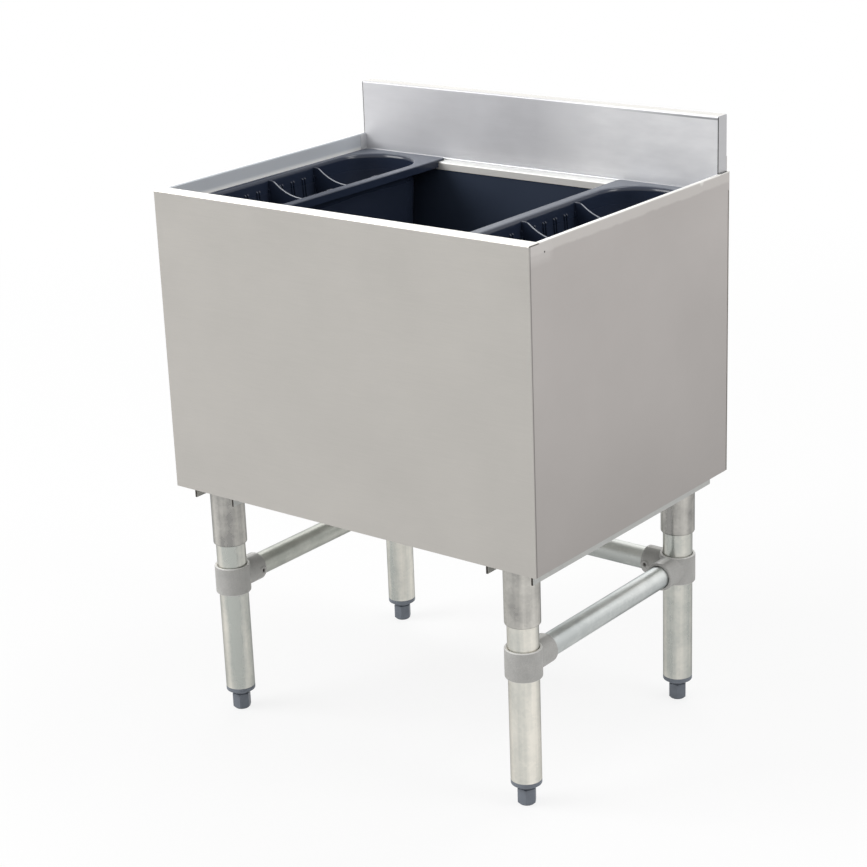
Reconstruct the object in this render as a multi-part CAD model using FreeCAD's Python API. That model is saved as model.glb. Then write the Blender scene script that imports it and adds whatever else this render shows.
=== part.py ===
# Underbar ice bin: insulated sheet steel cabinet with a moulded liner, two lift-out bottle
# troughs, a backsplash, a drain and four braced tube legs on levelling feet.
# Millimetres. X runs along the front, Y to the back, Z up. Origin: floor, centre of the plan.
import FreeCAD, Part
import math
import os

Vec = FreeCAD.Vector
UP = Vec(0, 0, 1)
NEAR = 1e-3

# Cabinet
BODY_WIDTH = 609.6
BODY_DEPTH = 457.2
BODY_BOTTOM = 343.0
RIM_HEIGHT = 762.0
SHEET = 1.2
BEND = 1.0
FRONT_RIM_WIDTH = 22.0
SIDE_HEM_WIDTH = 6.0
RECESS_DEPTH = 25.0
CORNER_FLANGE = 15.0
PAN_FLANGE = 16.0

# Backsplash
SPLASH_RISE = 76.2
SPLASH_THICKNESS = 20.8
SPLASH_INSET = 4.0
SPLASH_FOOT = 14.0
SPLASH_LAP = 20.0

# Deck opening and ice liner
SIDE_LEDGE = 8.8
END_LEDGE = 19.6
OPENING_CORNER = 32.0
DECK_LIP = 11.0
LINER_FIT = 0.5
LINER_WALL = 3.2
LINER_ABOVE_PAN = 47.0
LINER_FLOOR_THICKNESS = 4.0
LINER_DRAFT = 3.0
LINER_EDGE_GAP = 2.0
LINER_FLANGE_THICKNESS = 3.2
LINER_FLOOR_FILLET = 10.0
SUMP_MARGIN = 9.0
SUMP_DEPTH = 6.0
FOAM_FIT = 0.3

# Drain
TAIL_RADIUS = 16.7
TAIL_WALL = 3.4
TAIL_LENGTH = 32.0
TAIL_STEP = 1.5
TAIL_SOCKET = 14.0
TAIL_SOCKET_WALL = 5.5
TAIL_FIT = 0.3
DRAIN_TUBE_BELOW = 28.0
DRAIN_FIT = 0.4
DRAIN_FLANGE_RIM = 13.7
DRAIN_FLANGE_THICKNESS = 3.0
CUP_WALL = 1.2
CUP_DEPTH = 9.0
STRAINER_LEDGE = 12.2
STRAINER_THICKNESS = 1.5
STRAINER_HOLE_RADIUS = 2.6
STRAINER_HOLE_RINGS = 3
STRAINER_HOLES_ADDED = 6
STRAINER_SEAT_FIT = 0.3
GASKET_THICKNESS = 2.0
LOCKNUT_WALL = 7.6
LOCKNUT_HEIGHT = 11.0

# Bottle troughs
TROUGH_WIDTH = 121.0
TROUGH_CORNER = 54.0
TROUGH_DEPTH = 136.0
TROUGH_DRAFT = 3.5
TROUGH_WALL = 2.5
TROUGH_FLANGE_THICKNESS = 3.0
TROUGH_FLANGE_GAP = 3.5
TROUGH_CUP_GAP = 1.5
TROUGH_RAIL = 17.0
TROUGH_LIP_RADIUS = 6.0
TROUGH_BRIM_FILLET = 2.5
TROUGH_FLOOR_FILLET = 12.0
TROUGH_RAIL_LIP = 8.0
TROUGH_RAIL_LIP_WALL = 2.5
TROUGH_FLANGE_CORNER = 6.0
SLOT_PITCH = 24.0
SLOT_COUNT = 7
SLOT_FIT = 0.4
RIB_WIDTH = 2.0
RIB_DEPTH = 2.0
RIB_TOP = 14.0
RIB_BOTTOM = 24.0

# Divider plates
DIVIDER_THICKNESS = 2.4
DIVIDER_WALL_FIT = 0.6
DIVIDER_FLOOR_FIT = 0.3
DIVIDER_TOP_DROP = 3.0
DIVIDER_TAB = 9.0
DIVIDER_SCOOP = 19.0
DIVIDER_SHOULDER = 14.0
DIVIDER_EDGE = 0.8
LEFT_DIVIDER_SLOTS = (-1, 3)
RIGHT_DIVIDER_SLOTS = (-2, 3)

# Leg channels
LEG_INSET_X = 52.8
LEG_INSET_Y = 42.6
CHANNEL_WIDTH = 72.0
CHANNEL_INSET = 16.8
CHANNEL_HEIGHT = 19.0
CHANNEL_SHEET = 2.5
STUD_RADIUS = 4.0
STUD_LENGTH = 16.0
STUD_FIT = 0.4
STUD_PITCH = 100.0
STUD_ROWS = (-1, 0, 1)
NUT_FLATS = 13.0
NUT_HEIGHT = 6.5

# Legs and feet
LEG_DIAMETER = 41.3
LEG_WALL = 1.6
LEG_FIT = 0.3
SOCKET_WALL = 2.8
SOCKET_DROP = 87.0
SOCKET_EDGE = 2.3
SOCKET_PLATE_MARGIN = 2.0
SOCKET_PLATE_THICKNESS = 3.0
INSERT_COLLAR = 6.0
INSERT_CONE = 5.0
INSERT_PLUG = 24.0
INSERT_FIT = 0.3
FOOT_HEIGHT = 24.6
FOOT_FLATS = 23.0
FOOT_GAP = 0.4
FOOT_CHAMFER = 3.0
FOOT_NECK = 1.4
FOOT_NECK_RADIUS = 10.2
FOOT_SHOULDER = 0.8
STEM_RADIUS = 6.0
STEM_FIT = 0.35
STEM_LENGTH = 58.0

# Braces
BRACE_BELOW_SOCKET = 33.0
RING_WALL = 3.8
RING_HEIGHT = 41.0
RAIL_DIAMETER = 31.75
RAIL_WALL = 1.6
RAIL_FIT = 0.3
ARM_WALL = 3.9
ARM_REACH = 50.0
RING_EDGE = 1.5
ARM_EDGE = 2.5
PAD_RADIUS = 5.5
PAD_RISE = 2.0
SCREW_RADIUS = 2.5
SCREW_FIT = 0.3
SCREW_RECESS = 1.0
SCREW_FROM_MOUTH = 9.0

# Faces and levels of the cabinet that several pieces share
HALF_W = BODY_WIDTH / 2
HALF_D = BODY_DEPTH / 2
INNER_W = HALF_W - SHEET
INNER_D = HALF_D - SHEET
FLANGE_X = HALF_W - CORNER_FLANGE - BEND
FLANGE_Y = INNER_D - SHEET - BEND
DECK_TOP = RIM_HEIGHT - RECESS_DEPTH
DECK_UNDER = DECK_TOP - SHEET
FRONT_RECESS_Y = -HALF_D + FRONT_RIM_WIDTH
SPLASH_FRONT_Y = INNER_D - SPLASH_THICKNESS
SPLASH_TOP = RIM_HEIGHT + SPLASH_RISE
SPLASH_END_X = HALF_W - SPLASH_INSET
RECESS_X = HALF_W - SIDE_HEM_WIDTH
RECESS_Y = (SPLASH_FRONT_Y - FRONT_RECESS_Y) / 2
MIDDLE_Y = (SPLASH_FRONT_Y + FRONT_RECESS_Y) / 2
OPENING_X = RECESS_X - SIDE_LEDGE
OPENING_Y = RECESS_Y - END_LEDGE

# Liner and drain, from the pan and the tail pipe outwards
LINER_FLOOR = BODY_BOTTOM + LINER_ABOVE_PAN
DRAIN_BORE = TAIL_RADIUS - TAIL_WALL
TAIL_SPIGOT = TAIL_RADIUS - TAIL_STEP
DRAIN_TUBE = TAIL_SPIGOT + TAIL_FIT + TAIL_SOCKET_WALL
DRAIN_HOLE = DRAIN_TUBE + DRAIN_FIT
CUP_RADIUS = DRAIN_TUBE - CUP_WALL
STRAINER_RADIUS = CUP_RADIUS + STRAINER_LEDGE
DRAIN_FLANGE = STRAINER_RADIUS + STRAINER_SEAT_FIT + DRAIN_FLANGE_RIM
SUMP_RADIUS = DRAIN_FLANGE + SUMP_MARGIN
SUMP_FLOOR = LINER_FLOOR - SUMP_DEPTH
DRAIN_SEAT = SUMP_FLOOR + GASKET_THICKNESS
DRAIN_TOP = DRAIN_SEAT + DRAIN_FLANGE_THICKNESS
DRAIN_END = BODY_BOTTOM - DRAIN_TUBE_BELOW

# Troughs, from the recess and the opening inwards
FLANGE_TOP = DECK_TOP + TROUGH_FLANGE_THICKNESS
TROUGH_X = TROUGH_WIDTH / 2
TROUGH_Y = OPENING_Y - TROUGH_CUP_GAP - TROUGH_WALL
TROUGH_CENTRE = OPENING_X - TROUGH_CUP_GAP - TROUGH_WALL - TROUGH_X

# Legs and braces, from the channels down
CHANNEL_SOFFIT = BODY_BOTTOM - CHANNEL_SHEET
PLATE_UNDER = CHANNEL_SOFFIT - SOCKET_PLATE_THICKNESS
SOCKET_BOTTOM = BODY_BOTTOM - SOCKET_DROP
LEG_X = HALF_W - LEG_INSET_X
LEG_Y = HALF_D - LEG_INSET_Y
LEG_RADIUS = LEG_DIAMETER / 2
LEG_SEAT = LEG_RADIUS + LEG_FIT
LEG_BOTTOM = FOOT_HEIGHT + FOOT_GAP + INSERT_CONE + INSERT_COLLAR
RING_RADIUS = LEG_SEAT + RING_WALL
RAIL_RADIUS = RAIL_DIAMETER / 2
RAIL_SEAT = RAIL_RADIUS + RAIL_FIT
ARM_RADIUS = RAIL_SEAT + ARM_WALL
PAD_FACE = ARM_RADIUS + PAD_RISE
BRACE_HEIGHT = SOCKET_BOTTOM - BRACE_BELOW_SOCKET - RING_HEIGHT / 2
LEGS = {
    "front_left": (-1, -1),
    "front_right": (1, -1),
    "rear_left": (-1, 1),
    "rear_right": (1, 1),
}


def across_x(a, b):
    """A profile point in the plane square to X: a is Y, b is Z."""
    return Vec(0, a, b)


def across_y(a, b):
    """A profile point in the plane square to Y: a is X, b is Z."""
    return Vec(a, 0, b)


def in_plan(a, b):
    """A profile point in plan: a is X, b is Y."""
    return Vec(a, b, 0)


def block(low, high):
    """Box between two opposite corners."""
    size = [b - a for a, b in zip(low, high)]
    return Part.makeBox(size[0], size[1], size[2], Vec(*low))


def rod(radius, start, end):
    """Solid cylinder from one point to another."""
    return Part.makeCylinder(radius, (end - start).Length, start, end - start)


def pipe(outer, inner, start, end):
    """Round tube from one point to another."""
    return rod(outer, start, end).cut(rod(inner, start, end))


def polygon_face(points):
    """Flat face inside straight lines through the points."""
    return Part.Face(Part.makePolygon(points + [points[0]]))


def hexagon(flats, x, y, low, high):
    """Upright hexagonal prism, measured across its flats."""
    corner = flats / math.sqrt(3)
    turns = [math.radians(60 * i) for i in range(6)]
    points = [Vec(x + corner * math.cos(t), y + corner * math.sin(t), low) for t in turns]
    return polygon_face(points).extrude(UP * (high - low))


def turned(profile, x, y):
    """Solid of revolution about an upright axis; the profile lists radius and height."""
    points = [Vec(x + r, y, z) for r, z in profile]
    return polygon_face(points).revolve(Vec(x, y, 0), UP, 360)


def rounded_outline(half_x, half_y, radius, z, x=0.0, y=0.0):
    """Closed outline of a rectangle with round corners, at one height."""
    edges = []
    turns = ((1, 1), (-1, 1), (-1, -1), (1, -1))
    starts = []
    ends = []
    for i, (sx, sy) in enumerate(turns):
        centre = Vec(x + sx * (half_x - radius), y + sy * (half_y - radius), z)
        begin = math.radians(90 * i)
        spots = [centre + Vec(math.cos(begin + step), math.sin(begin + step), 0) * radius
                 for step in (0, math.pi / 4, math.pi / 2)]
        edges.append(Part.Arc(*spots).toShape())
        starts.append(spots[0])
        ends.append(spots[2])
    for i in range(len(turns)):
        edges.append(Part.makeLine(ends[i], starts[(i + 1) % len(turns)]))
    return Part.Wire(Part.__sortEdges__(edges))


def rounded_slab(half_x, half_y, radius, low, high, x=0.0, y=0.0):
    """Plate with round corners between two heights."""
    return Part.Face(rounded_outline(half_x, half_y, radius, low, x, y)).extrude(UP * (high - low))


def drafted_block(half_x, half_y, radius, top, bottom, draft, x=0.0, y=0.0):
    """Round-cornered block whose walls lean in by the draft angle towards the bottom."""
    lean = (top - bottom) * math.tan(math.radians(draft))
    upper = rounded_outline(half_x, half_y, radius, top, x, y)
    lower = rounded_outline(half_x - lean, half_y - lean, radius - lean, bottom, x, y)
    return Part.makeLoft([upper, lower], True, True)


def skin_edges(points, radii, place):
    """Lines and tangent arcs along one skin of a folded sheet."""
    edges = []
    last = points[0]
    for before, corner, after, radius in zip(points, points[1:], points[2:], radii):
        arriving = (corner - before).normalize()
        leaving = (after - corner).normalize()
        half_turn = arriving.getAngle(leaving) / 2
        reach = radius * math.tan(half_turn)
        inward = (leaving - arriving).normalize()
        start = corner - arriving * reach
        middle = corner + inward * (radius / math.cos(half_turn) - radius)
        end = corner + leaving * reach
        edges.append(Part.makeLine(place(last.x, last.y), place(start.x, start.y)))
        edges.append(Part.Arc(*[place(p.x, p.y) for p in (start, middle, end)]).toShape())
        last = end
    edges.append(Part.makeLine(place(last.x, last.y), place(points[-1].x, points[-1].y)))
    return edges


def folded_face(path, thickness, bend, place):
    """Section of a bent sheet: path is its outer skin, the sheet lies on the path's left."""
    outer = [Vec(a, b, 0) for a, b in path]
    runs = [(b - a).normalize() for a, b in zip(outer, outer[1:])]
    lefts = [Vec(-run.y, run.x, 0) for run in runs]
    inner = [outer[0] + lefts[0] * thickness]
    outer_radii = []
    inner_radii = []
    for i, (first, second) in enumerate(zip(lefts, lefts[1:])):
        inner.append(outer[i + 1] + (first + second) * (thickness / (1 + first.dot(second))))
        left_turn = runs[i].cross(runs[i + 1]).z > 0
        outer_radii.append(bend + thickness if left_turn else bend)
        inner_radii.append(bend if left_turn else bend + thickness)
    inner.append(outer[-1] + lefts[-1] * thickness)
    edges = skin_edges(outer, outer_radii, place) + skin_edges(inner, inner_radii, place)
    for a, b in ((outer[0], inner[0]), (outer[-1], inner[-1])):
        edges.append(Part.makeLine(place(a.x, a.y), place(b.x, b.y)))
    return Part.Face(Part.Wire(Part.__sortEdges__(edges)))


def folded_along_x(path, low, high, thickness=SHEET):
    """Bent sheet that runs along X, from a Y-Z path."""
    face = folded_face(path, thickness, BEND, across_x)
    return face.translate(Vec(low, 0, 0)).extrude(Vec(high - low, 0, 0))


def folded_along_y(path, low, high, thickness=SHEET):
    """Bent sheet that runs along Y, from an X-Z path."""
    face = folded_face(path, thickness, BEND, across_y)
    return face.translate(Vec(0, low, 0)).extrude(Vec(0, high - low, 0))


def edges_where(shape, test):
    """Edges whose middle point passes a test."""
    return [edge for edge in shape.Edges if test(edge.CenterOfMass)]


def level_edges(shape, z):
    """Edges that lie wholly at one height."""
    return [edge for edge in shape.Edges
            if abs(edge.BoundBox.ZMin - z) < NEAR and abs(edge.BoundBox.ZMax - z) < NEAR]


def half_turn(shape):
    """The same piece turned half way round the middle of the recess."""
    copy = shape.copy()
    copy.rotate(Vec(0, MIDDLE_Y, 0), UP, 180)
    return copy


def mirrored_x(shape):
    """The opposite-hand piece, across the middle of the front."""
    return shape.mirror(Vec(0, 0, 0), Vec(1, 0, 0))


def front_panel():
    """Front face folded back into the flat rim and down into the recess."""
    panel = folded_along_x([
        (FRONT_RECESS_Y, DECK_TOP),
        (FRONT_RECESS_Y, RIM_HEIGHT),
        (-HALF_D, RIM_HEIGHT),
        (-HALF_D, BODY_BOTTOM),
    ], -HALF_W, HALF_W)
    for side in (-1, 1):
        end = sorted((side * INNER_W, side * HALF_W))
        notch = block((end[0], -INNER_D, BODY_BOTTOM), (end[1], 0, RIM_HEIGHT - SHEET))
        panel = panel.cut(notch)
    return panel


def right_side_panel():
    """Side face with folded corner flanges and a narrow hem turned down into the recess."""
    section = folded_face([
        (HALF_W - CORNER_FLANGE, -INNER_D),
        (HALF_W, -INNER_D),
        (HALF_W, INNER_D),
        (HALF_W - CORNER_FLANGE, INNER_D),
    ], SHEET, BEND, in_plan)
    top = RIM_HEIGHT - SHEET - BEND
    leaf = section.translate(UP * BODY_BOTTOM).extrude(UP * (top - BODY_BOTTOM))
    above_deck = block((HALF_W - CORNER_FLANGE, FRONT_RECESS_Y, DECK_TOP), (HALF_W, INNER_D, RIM_HEIGHT))
    leaf = leaf.cut(above_deck)
    hem = folded_along_y([
        (HALF_W, DECK_TOP),
        (HALF_W, RIM_HEIGHT),
        (RECESS_X, RIM_HEIGHT),
        (RECESS_X, DECK_TOP),
    ], FRONT_RECESS_Y, SPLASH_FRONT_Y)
    tail = block((INNER_W, SPLASH_FRONT_Y, DECK_TOP), (HALF_W, INNER_D, RIM_HEIGHT))
    return leaf.fuse([hem, tail]).removeSplitter()


def back_panel():
    """Flat back whose shoulders narrow to lap behind the backsplash."""
    points = [
        (-HALF_W, BODY_BOTTOM),
        (HALF_W, BODY_BOTTOM),
        (HALF_W, RIM_HEIGHT),
        (SPLASH_END_X, RIM_HEIGHT),
        (SPLASH_END_X, RIM_HEIGHT + SPLASH_LAP),
        (-SPLASH_END_X, RIM_HEIGHT + SPLASH_LAP),
        (-SPLASH_END_X, RIM_HEIGHT),
        (-HALF_W, RIM_HEIGHT),
    ]
    return polygon_face([Vec(x, INNER_D, z) for x, z in points]).extrude(Vec(0, SHEET, 0))


def corner_notches(low, high):
    """Upright blocks that clear the side panels' corner flanges."""
    notches = []
    for side, end in LEGS.values():
        x = sorted((side * FLANGE_X, side * HALF_W))
        y = sorted((end * FLANGE_Y, end * HALF_D))
        notches.append(block((x[0], y[0], low), (x[1], y[1], high)))
    return notches


def bottom_pan():
    """Pressed floor pan with upturned edges and a hole for the drain."""
    floor = BODY_BOTTOM + SHEET
    top = BODY_BOTTOM + PAN_FLANGE
    outer = block((-INNER_W, -INNER_D, BODY_BOTTOM), (INNER_W, INNER_D, top))
    outer = outer.makeFillet(BEND + SHEET, level_edges(outer, BODY_BOTTOM))
    inner = block((-INNER_W + SHEET, -INNER_D + SHEET, floor),
                  (INNER_W - SHEET, INNER_D - SHEET, top + PAN_FLANGE))
    inner = inner.makeFillet(BEND, level_edges(inner, floor))
    hole = rod(DRAIN_HOLE, Vec(0, 0, BODY_BOTTOM), Vec(0, 0, floor))
    return outer.cut([inner, hole] + corner_notches(BODY_BOTTOM, top))


def opening_slab(grow, low, high):
    """Round-cornered block over the deck opening, grown by a margin."""
    return rounded_slab(OPENING_X + grow, OPENING_Y + grow, OPENING_CORNER + grow, low, high, 0, MIDDLE_Y)


def top_deck():
    """Sunk deck with one large opening, its edge folded down all round."""
    deck = block((-INNER_W, -INNER_D, DECK_UNDER), (INNER_W, INNER_D, DECK_TOP))
    deck = deck.cut(corner_notches(DECK_UNDER, DECK_TOP))
    low = DECK_TOP - DECK_LIP
    deck = deck.fuse(opening_slab(SHEET, low, DECK_TOP))
    deck = deck.cut(opening_slab(0, low, DECK_TOP)).removeSplitter()
    fold = [edge for edge in level_edges(deck, DECK_TOP)
            if abs(edge.CenterOfMass.x) <= OPENING_X + SHEET / 2
            and abs(edge.CenterOfMass.y - MIDDLE_Y) <= OPENING_Y + SHEET / 2]
    return deck.makeFillet(BEND + SHEET, fold)


def backsplash():
    """Splash folded from one sheet: foot on the deck, face, flat top and back lap."""
    return folded_along_x([
        (INNER_D, RIM_HEIGHT),
        (INNER_D, SPLASH_TOP),
        (SPLASH_FRONT_Y, SPLASH_TOP),
        (SPLASH_FRONT_Y, DECK_TOP),
        (SPLASH_FRONT_Y + SPLASH_FOOT, DECK_TOP),
    ], -SPLASH_END_X + SHEET, SPLASH_END_X - SHEET)


def splash_end_cap(side):
    """Plate that closes one end of the backsplash, its upper corners rounded like the folds."""
    x = min(side * (SPLASH_END_X - SHEET), side * SPLASH_END_X)
    cap = block((x, SPLASH_FRONT_Y, DECK_TOP), (x + SHEET, INNER_D, SPLASH_TOP))
    ridge = [edge for edge in level_edges(cap, SPLASH_TOP) if edge.BoundBox.XLength > SHEET / 2]
    return cap.makeFillet(BEND + SHEET, ridge)


def liner_mouth(margin):
    """How far the liner's mouth stands outside the deck opening: clear of the lip, plus a margin."""
    return SHEET + LINER_FIT + DECK_LIP * math.tan(math.radians(LINER_DRAFT)) + margin


def liner_block(margin, floor):
    """Drafted block of the liner grown by a margin, its floor edge rounded."""
    grow = liner_mouth(margin)
    tub = drafted_block(OPENING_X + grow, OPENING_Y + grow, OPENING_CORNER + grow,
                        DECK_UNDER, floor, LINER_DRAFT, 0, MIDDLE_Y)
    return tub.makeFillet(LINER_FLOOR_FILLET + margin, level_edges(tub, floor))


def ice_liner():
    """Moulded tub under the deck with a hanging flange, leaning walls and a round sump."""
    brim = INNER_W - LINER_EDGE_GAP - OPENING_X
    tub = opening_slab(brim, DECK_UNDER - LINER_FLANGE_THICKNESS, DECK_UNDER)
    tub = tub.fuse(liner_block(LINER_WALL, LINER_FLOOR - LINER_FLOOR_THICKNESS))
    sump_under = SUMP_FLOOR - LINER_FLOOR_THICKNESS
    tub = tub.fuse(rod(SUMP_RADIUS + LINER_WALL, Vec(0, 0, sump_under), Vec(0, 0, LINER_FLOOR)))
    sump = rod(SUMP_RADIUS, Vec(0, 0, SUMP_FLOOR), Vec(0, 0, LINER_FLOOR + SUMP_DEPTH))
    hole = rod(DRAIN_HOLE, Vec(0, 0, sump_under), Vec(0, 0, SUMP_FLOOR))
    return tub.cut([liner_block(0, LINER_FLOOR), sump, hole]).removeSplitter()


def foam_insulation():
    """Foam that fills the cabinet round the liner."""
    wall = SHEET + FOAM_FIT
    low = BODY_BOTTOM + SHEET
    high = DECK_UNDER - LINER_FLANGE_THICKNESS
    foam = block((-INNER_W + wall, -INNER_D + wall, low), (INNER_W - wall, INNER_D - wall, high))
    foam = foam.makeFillet(BEND, level_edges(foam, low))
    tub = liner_block(LINER_WALL + FOAM_FIT, LINER_FLOOR - LINER_FLOOR_THICKNESS - FOAM_FIT)
    sump_under = SUMP_FLOOR - LINER_FLOOR_THICKNESS - FOAM_FIT
    sump = rod(SUMP_RADIUS + LINER_WALL + FOAM_FIT, Vec(0, 0, sump_under), Vec(0, 0, LINER_FLOOR))
    way = rod(DRAIN_HOLE, Vec(0, 0, low), Vec(0, 0, LINER_FLOOR))
    return foam.cut([tub, sump, way])


def drain_body():
    """Turned drain: flange, strainer seat, tapered cup and a long tube with a tail socket."""
    strainer_floor = DRAIN_TOP - STRAINER_THICKNESS
    strainer_wall = STRAINER_RADIUS + STRAINER_SEAT_FIT
    socket = TAIL_SPIGOT + TAIL_FIT
    return turned([
        (strainer_wall, DRAIN_TOP),
        (DRAIN_FLANGE, DRAIN_TOP),
        (DRAIN_FLANGE, DRAIN_SEAT),
        (DRAIN_TUBE, DRAIN_SEAT),
        (DRAIN_TUBE, DRAIN_END),
        (socket, DRAIN_END),
        (socket, DRAIN_END + TAIL_SOCKET),
        (DRAIN_BORE, DRAIN_END + TAIL_SOCKET),
        (DRAIN_BORE, strainer_floor - CUP_DEPTH),
        (CUP_RADIUS, strainer_floor),
        (strainer_wall, strainer_floor),
    ], 0, 0)


def drain_strainer():
    """Perforated disc that drops into the drain's seat."""
    low = DRAIN_TOP - STRAINER_THICKNESS
    holes = []
    for ring in range(STRAINER_HOLE_RINGS):
        radius = (CUP_RADIUS - 2 * STRAINER_HOLE_RADIUS) * ring / (STRAINER_HOLE_RINGS - 1)
        count = STRAINER_HOLES_ADDED * ring if ring else 1
        for i in range(count):
            turn = 2 * math.pi * i / count
            spot = Vec(radius * math.cos(turn), radius * math.sin(turn), low)
            holes.append(rod(STRAINER_HOLE_RADIUS, spot, spot + UP * STRAINER_THICKNESS))
    return rod(STRAINER_RADIUS, Vec(0, 0, low), Vec(0, 0, DRAIN_TOP)).cut(holes)


def drain_gasket():
    """Flat rubber ring between the drain flange and the sump."""
    return pipe(DRAIN_FLANGE, DRAIN_HOLE, Vec(0, 0, SUMP_FLOOR), Vec(0, 0, DRAIN_SEAT))


def drain_locknut():
    """Hexagonal nut that draws the drain down from under the cabinet."""
    low = BODY_BOTTOM - LOCKNUT_HEIGHT
    nut = hexagon(2 * (DRAIN_HOLE + LOCKNUT_WALL), 0, 0, low, BODY_BOTTOM)
    return nut.cut(rod(DRAIN_HOLE, Vec(0, 0, low), Vec(0, 0, BODY_BOTTOM)))


def drain_tailpiece():
    """Pipe end that a drain hose slips over, with a thinner spigot glued into the drain."""
    low = DRAIN_END - TAIL_LENGTH
    top = DRAIN_END + TAIL_SOCKET
    return turned([
        (DRAIN_BORE, low),
        (TAIL_RADIUS, low),
        (TAIL_RADIUS, DRAIN_END),
        (TAIL_SPIGOT, DRAIN_END),
        (TAIL_SPIGOT, top),
        (DRAIN_BORE, top),
    ], 0, 0)


def trough_lean(depth):
    """How far a trough wall has leaned in at a depth below the flange top."""
    return depth * math.tan(math.radians(TROUGH_DRAFT))


def slot_place(slot):
    """Place of a guide slot along the trough, counted from its middle."""
    return MIDDLE_Y + slot * SLOT_PITCH


def guide_rib(wall_side, y):
    """Upright rib on a leaning long wall, its head sloped into the wall."""
    foot = TROUGH_DEPTH - RIB_BOTTOM
    top_wall = TROUGH_X - trough_lean(RIB_TOP)
    foot_wall = TROUGH_X - trough_lean(foot)
    root = TROUGH_WALL / 2
    outline = [
        (top_wall + root, FLANGE_TOP - RIB_TOP),
        (top_wall, FLANGE_TOP - RIB_TOP),
        (top_wall - RIB_DEPTH, FLANGE_TOP - RIB_TOP - RIB_DEPTH),
        (foot_wall - RIB_DEPTH, FLANGE_TOP - foot),
        (foot_wall + root, FLANGE_TOP - foot),
    ]
    points = [Vec(-TROUGH_CENTRE + wall_side * x, y - RIB_WIDTH / 2, z) for x, z in outline]
    return polygon_face(points).extrude(Vec(0, RIB_WIDTH, 0))


def trough_block(margin, top, floor):
    """Drafted block of the trough's cup grown by a margin, its floor edge rounded."""
    cup = drafted_block(TROUGH_X + margin, TROUGH_Y + margin, TROUGH_CORNER + margin,
                        top, floor, TROUGH_DRAFT, -TROUGH_CENTRE, MIDDLE_Y)
    return cup.makeFillet(TROUGH_FLOOR_FILLET + margin, level_edges(cup, floor))


def trough_flange():
    """Flat brim of the trough with a soft upper edge and a lip under its rail."""
    outer = RECESS_X - TROUGH_FLANGE_GAP
    inner = TROUGH_CENTRE - TROUGH_X - TROUGH_RAIL
    half_y = RECESS_Y - TROUGH_FLANGE_GAP
    brim = rounded_slab((outer - inner) / 2, half_y, TROUGH_FLANGE_CORNER, DECK_TOP, FLANGE_TOP,
                        -(outer + inner) / 2, MIDDLE_Y)
    brim = brim.makeFillet(TROUGH_FLANGE_THICKNESS / 2, level_edges(brim, FLANGE_TOP))
    reach = OPENING_Y - TROUGH_CUP_GAP
    lip = block((-inner - TROUGH_RAIL_LIP_WALL, MIDDLE_Y - reach, DECK_TOP - TROUGH_RAIL_LIP),
                (-inner, MIDDLE_Y + reach, DECK_TOP))
    return brim.fuse(lip)


def cup_edges(body, z):
    """Edges of the trough's cup at one height, without those of its brim."""
    return [edge for edge in level_edges(body, z)
            if abs(edge.CenterOfMass.x + TROUGH_CENTRE) <= TROUGH_X + TROUGH_WALL
            and abs(edge.CenterOfMass.y - MIDDLE_Y) <= TROUGH_Y + TROUGH_WALL]


def bottle_trough():
    """Moulded trough for the left side: drafted cup, rolled lip, flange, rail and guide ribs."""
    floor = FLANGE_TOP - TROUGH_DEPTH
    body = trough_block(TROUGH_WALL, FLANGE_TOP, floor - TROUGH_WALL).fuse(trough_flange())
    body = body.cut(trough_block(0, FLANGE_TOP, floor)).removeSplitter()
    body = body.makeFillet(TROUGH_BRIM_FILLET, cup_edges(body, DECK_TOP))
    body = body.makeFillet(TROUGH_LIP_RADIUS, cup_edges(body, FLANGE_TOP))
    ribs = []
    step = (DIVIDER_THICKNESS + RIB_WIDTH) / 2 + SLOT_FIT
    for i in range(SLOT_COUNT):
        middle = slot_place(i - (SLOT_COUNT - 1) / 2)
        for wall_side in (-1, 1):
            ribs.append(guide_rib(wall_side, middle - step))
            ribs.append(guide_rib(wall_side, middle + step))
    return body.fuse(ribs).removeSplitter()


def trough_divider(slot):
    """Thin plate that drops between the guide ribs, with a scooped top edge."""
    top = FLANGE_TOP - DIVIDER_TOP_DROP
    floor = FLANGE_TOP - TROUGH_DEPTH + DIVIDER_FLOOR_FIT
    half_top = TROUGH_X - DIVIDER_WALL_FIT - trough_lean(DIVIDER_TOP_DROP)
    half_low = TROUGH_X - DIVIDER_WALL_FIT - trough_lean(TROUGH_DEPTH - DIVIDER_FLOOR_FIT)
    inner = half_top - DIVIDER_TAB
    x = -TROUGH_CENTRE
    y = slot_place(slot) - DIVIDER_THICKNESS / 2
    scoop = Part.Arc(Vec(x + inner, y, top), Vec(x, y, top - DIVIDER_SCOOP), Vec(x - inner, y, top))
    corners = [(-inner, top), (-half_top, top), (-half_low, floor), (half_low, floor),
               (half_top, top), (inner, top)]
    points = [Vec(x + a, y, z) for a, z in corners]
    lines = [Part.makeLine(a, b) for a, b in zip(points, points[1:])]
    plate = Part.Face(Part.Wire([scoop.toShape()] + lines)).extrude(Vec(0, DIVIDER_THICKNESS, 0))
    feet = edges_where(plate, lambda p: abs(p.z - floor) < NEAR and abs(p.x - x) > half_low - NEAR)
    plate = plate.makeFillet(TROUGH_FLOOR_FILLET + DIVIDER_WALL_FIT, feet)
    shoulders = edges_where(plate, lambda p: abs(p.z - top) < NEAR
                            and abs(abs(p.x - x) - inner) < NEAR)
    plate = plate.makeFillet(DIVIDER_SHOULDER, shoulders)
    middle = slot_place(slot)
    crest = edges_where(plate, lambda p: p.z > top - DIVIDER_SCOOP - NEAR
                        and abs(p.y - middle) > DIVIDER_THICKNESS / 2 - NEAR)
    return plate.makeFillet(DIVIDER_EDGE, crest)


def stud_places(side):
    """Plan positions of the weld studs over one channel."""
    return [(side * LEG_X, row * STUD_PITCH) for row in STUD_ROWS]


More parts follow.
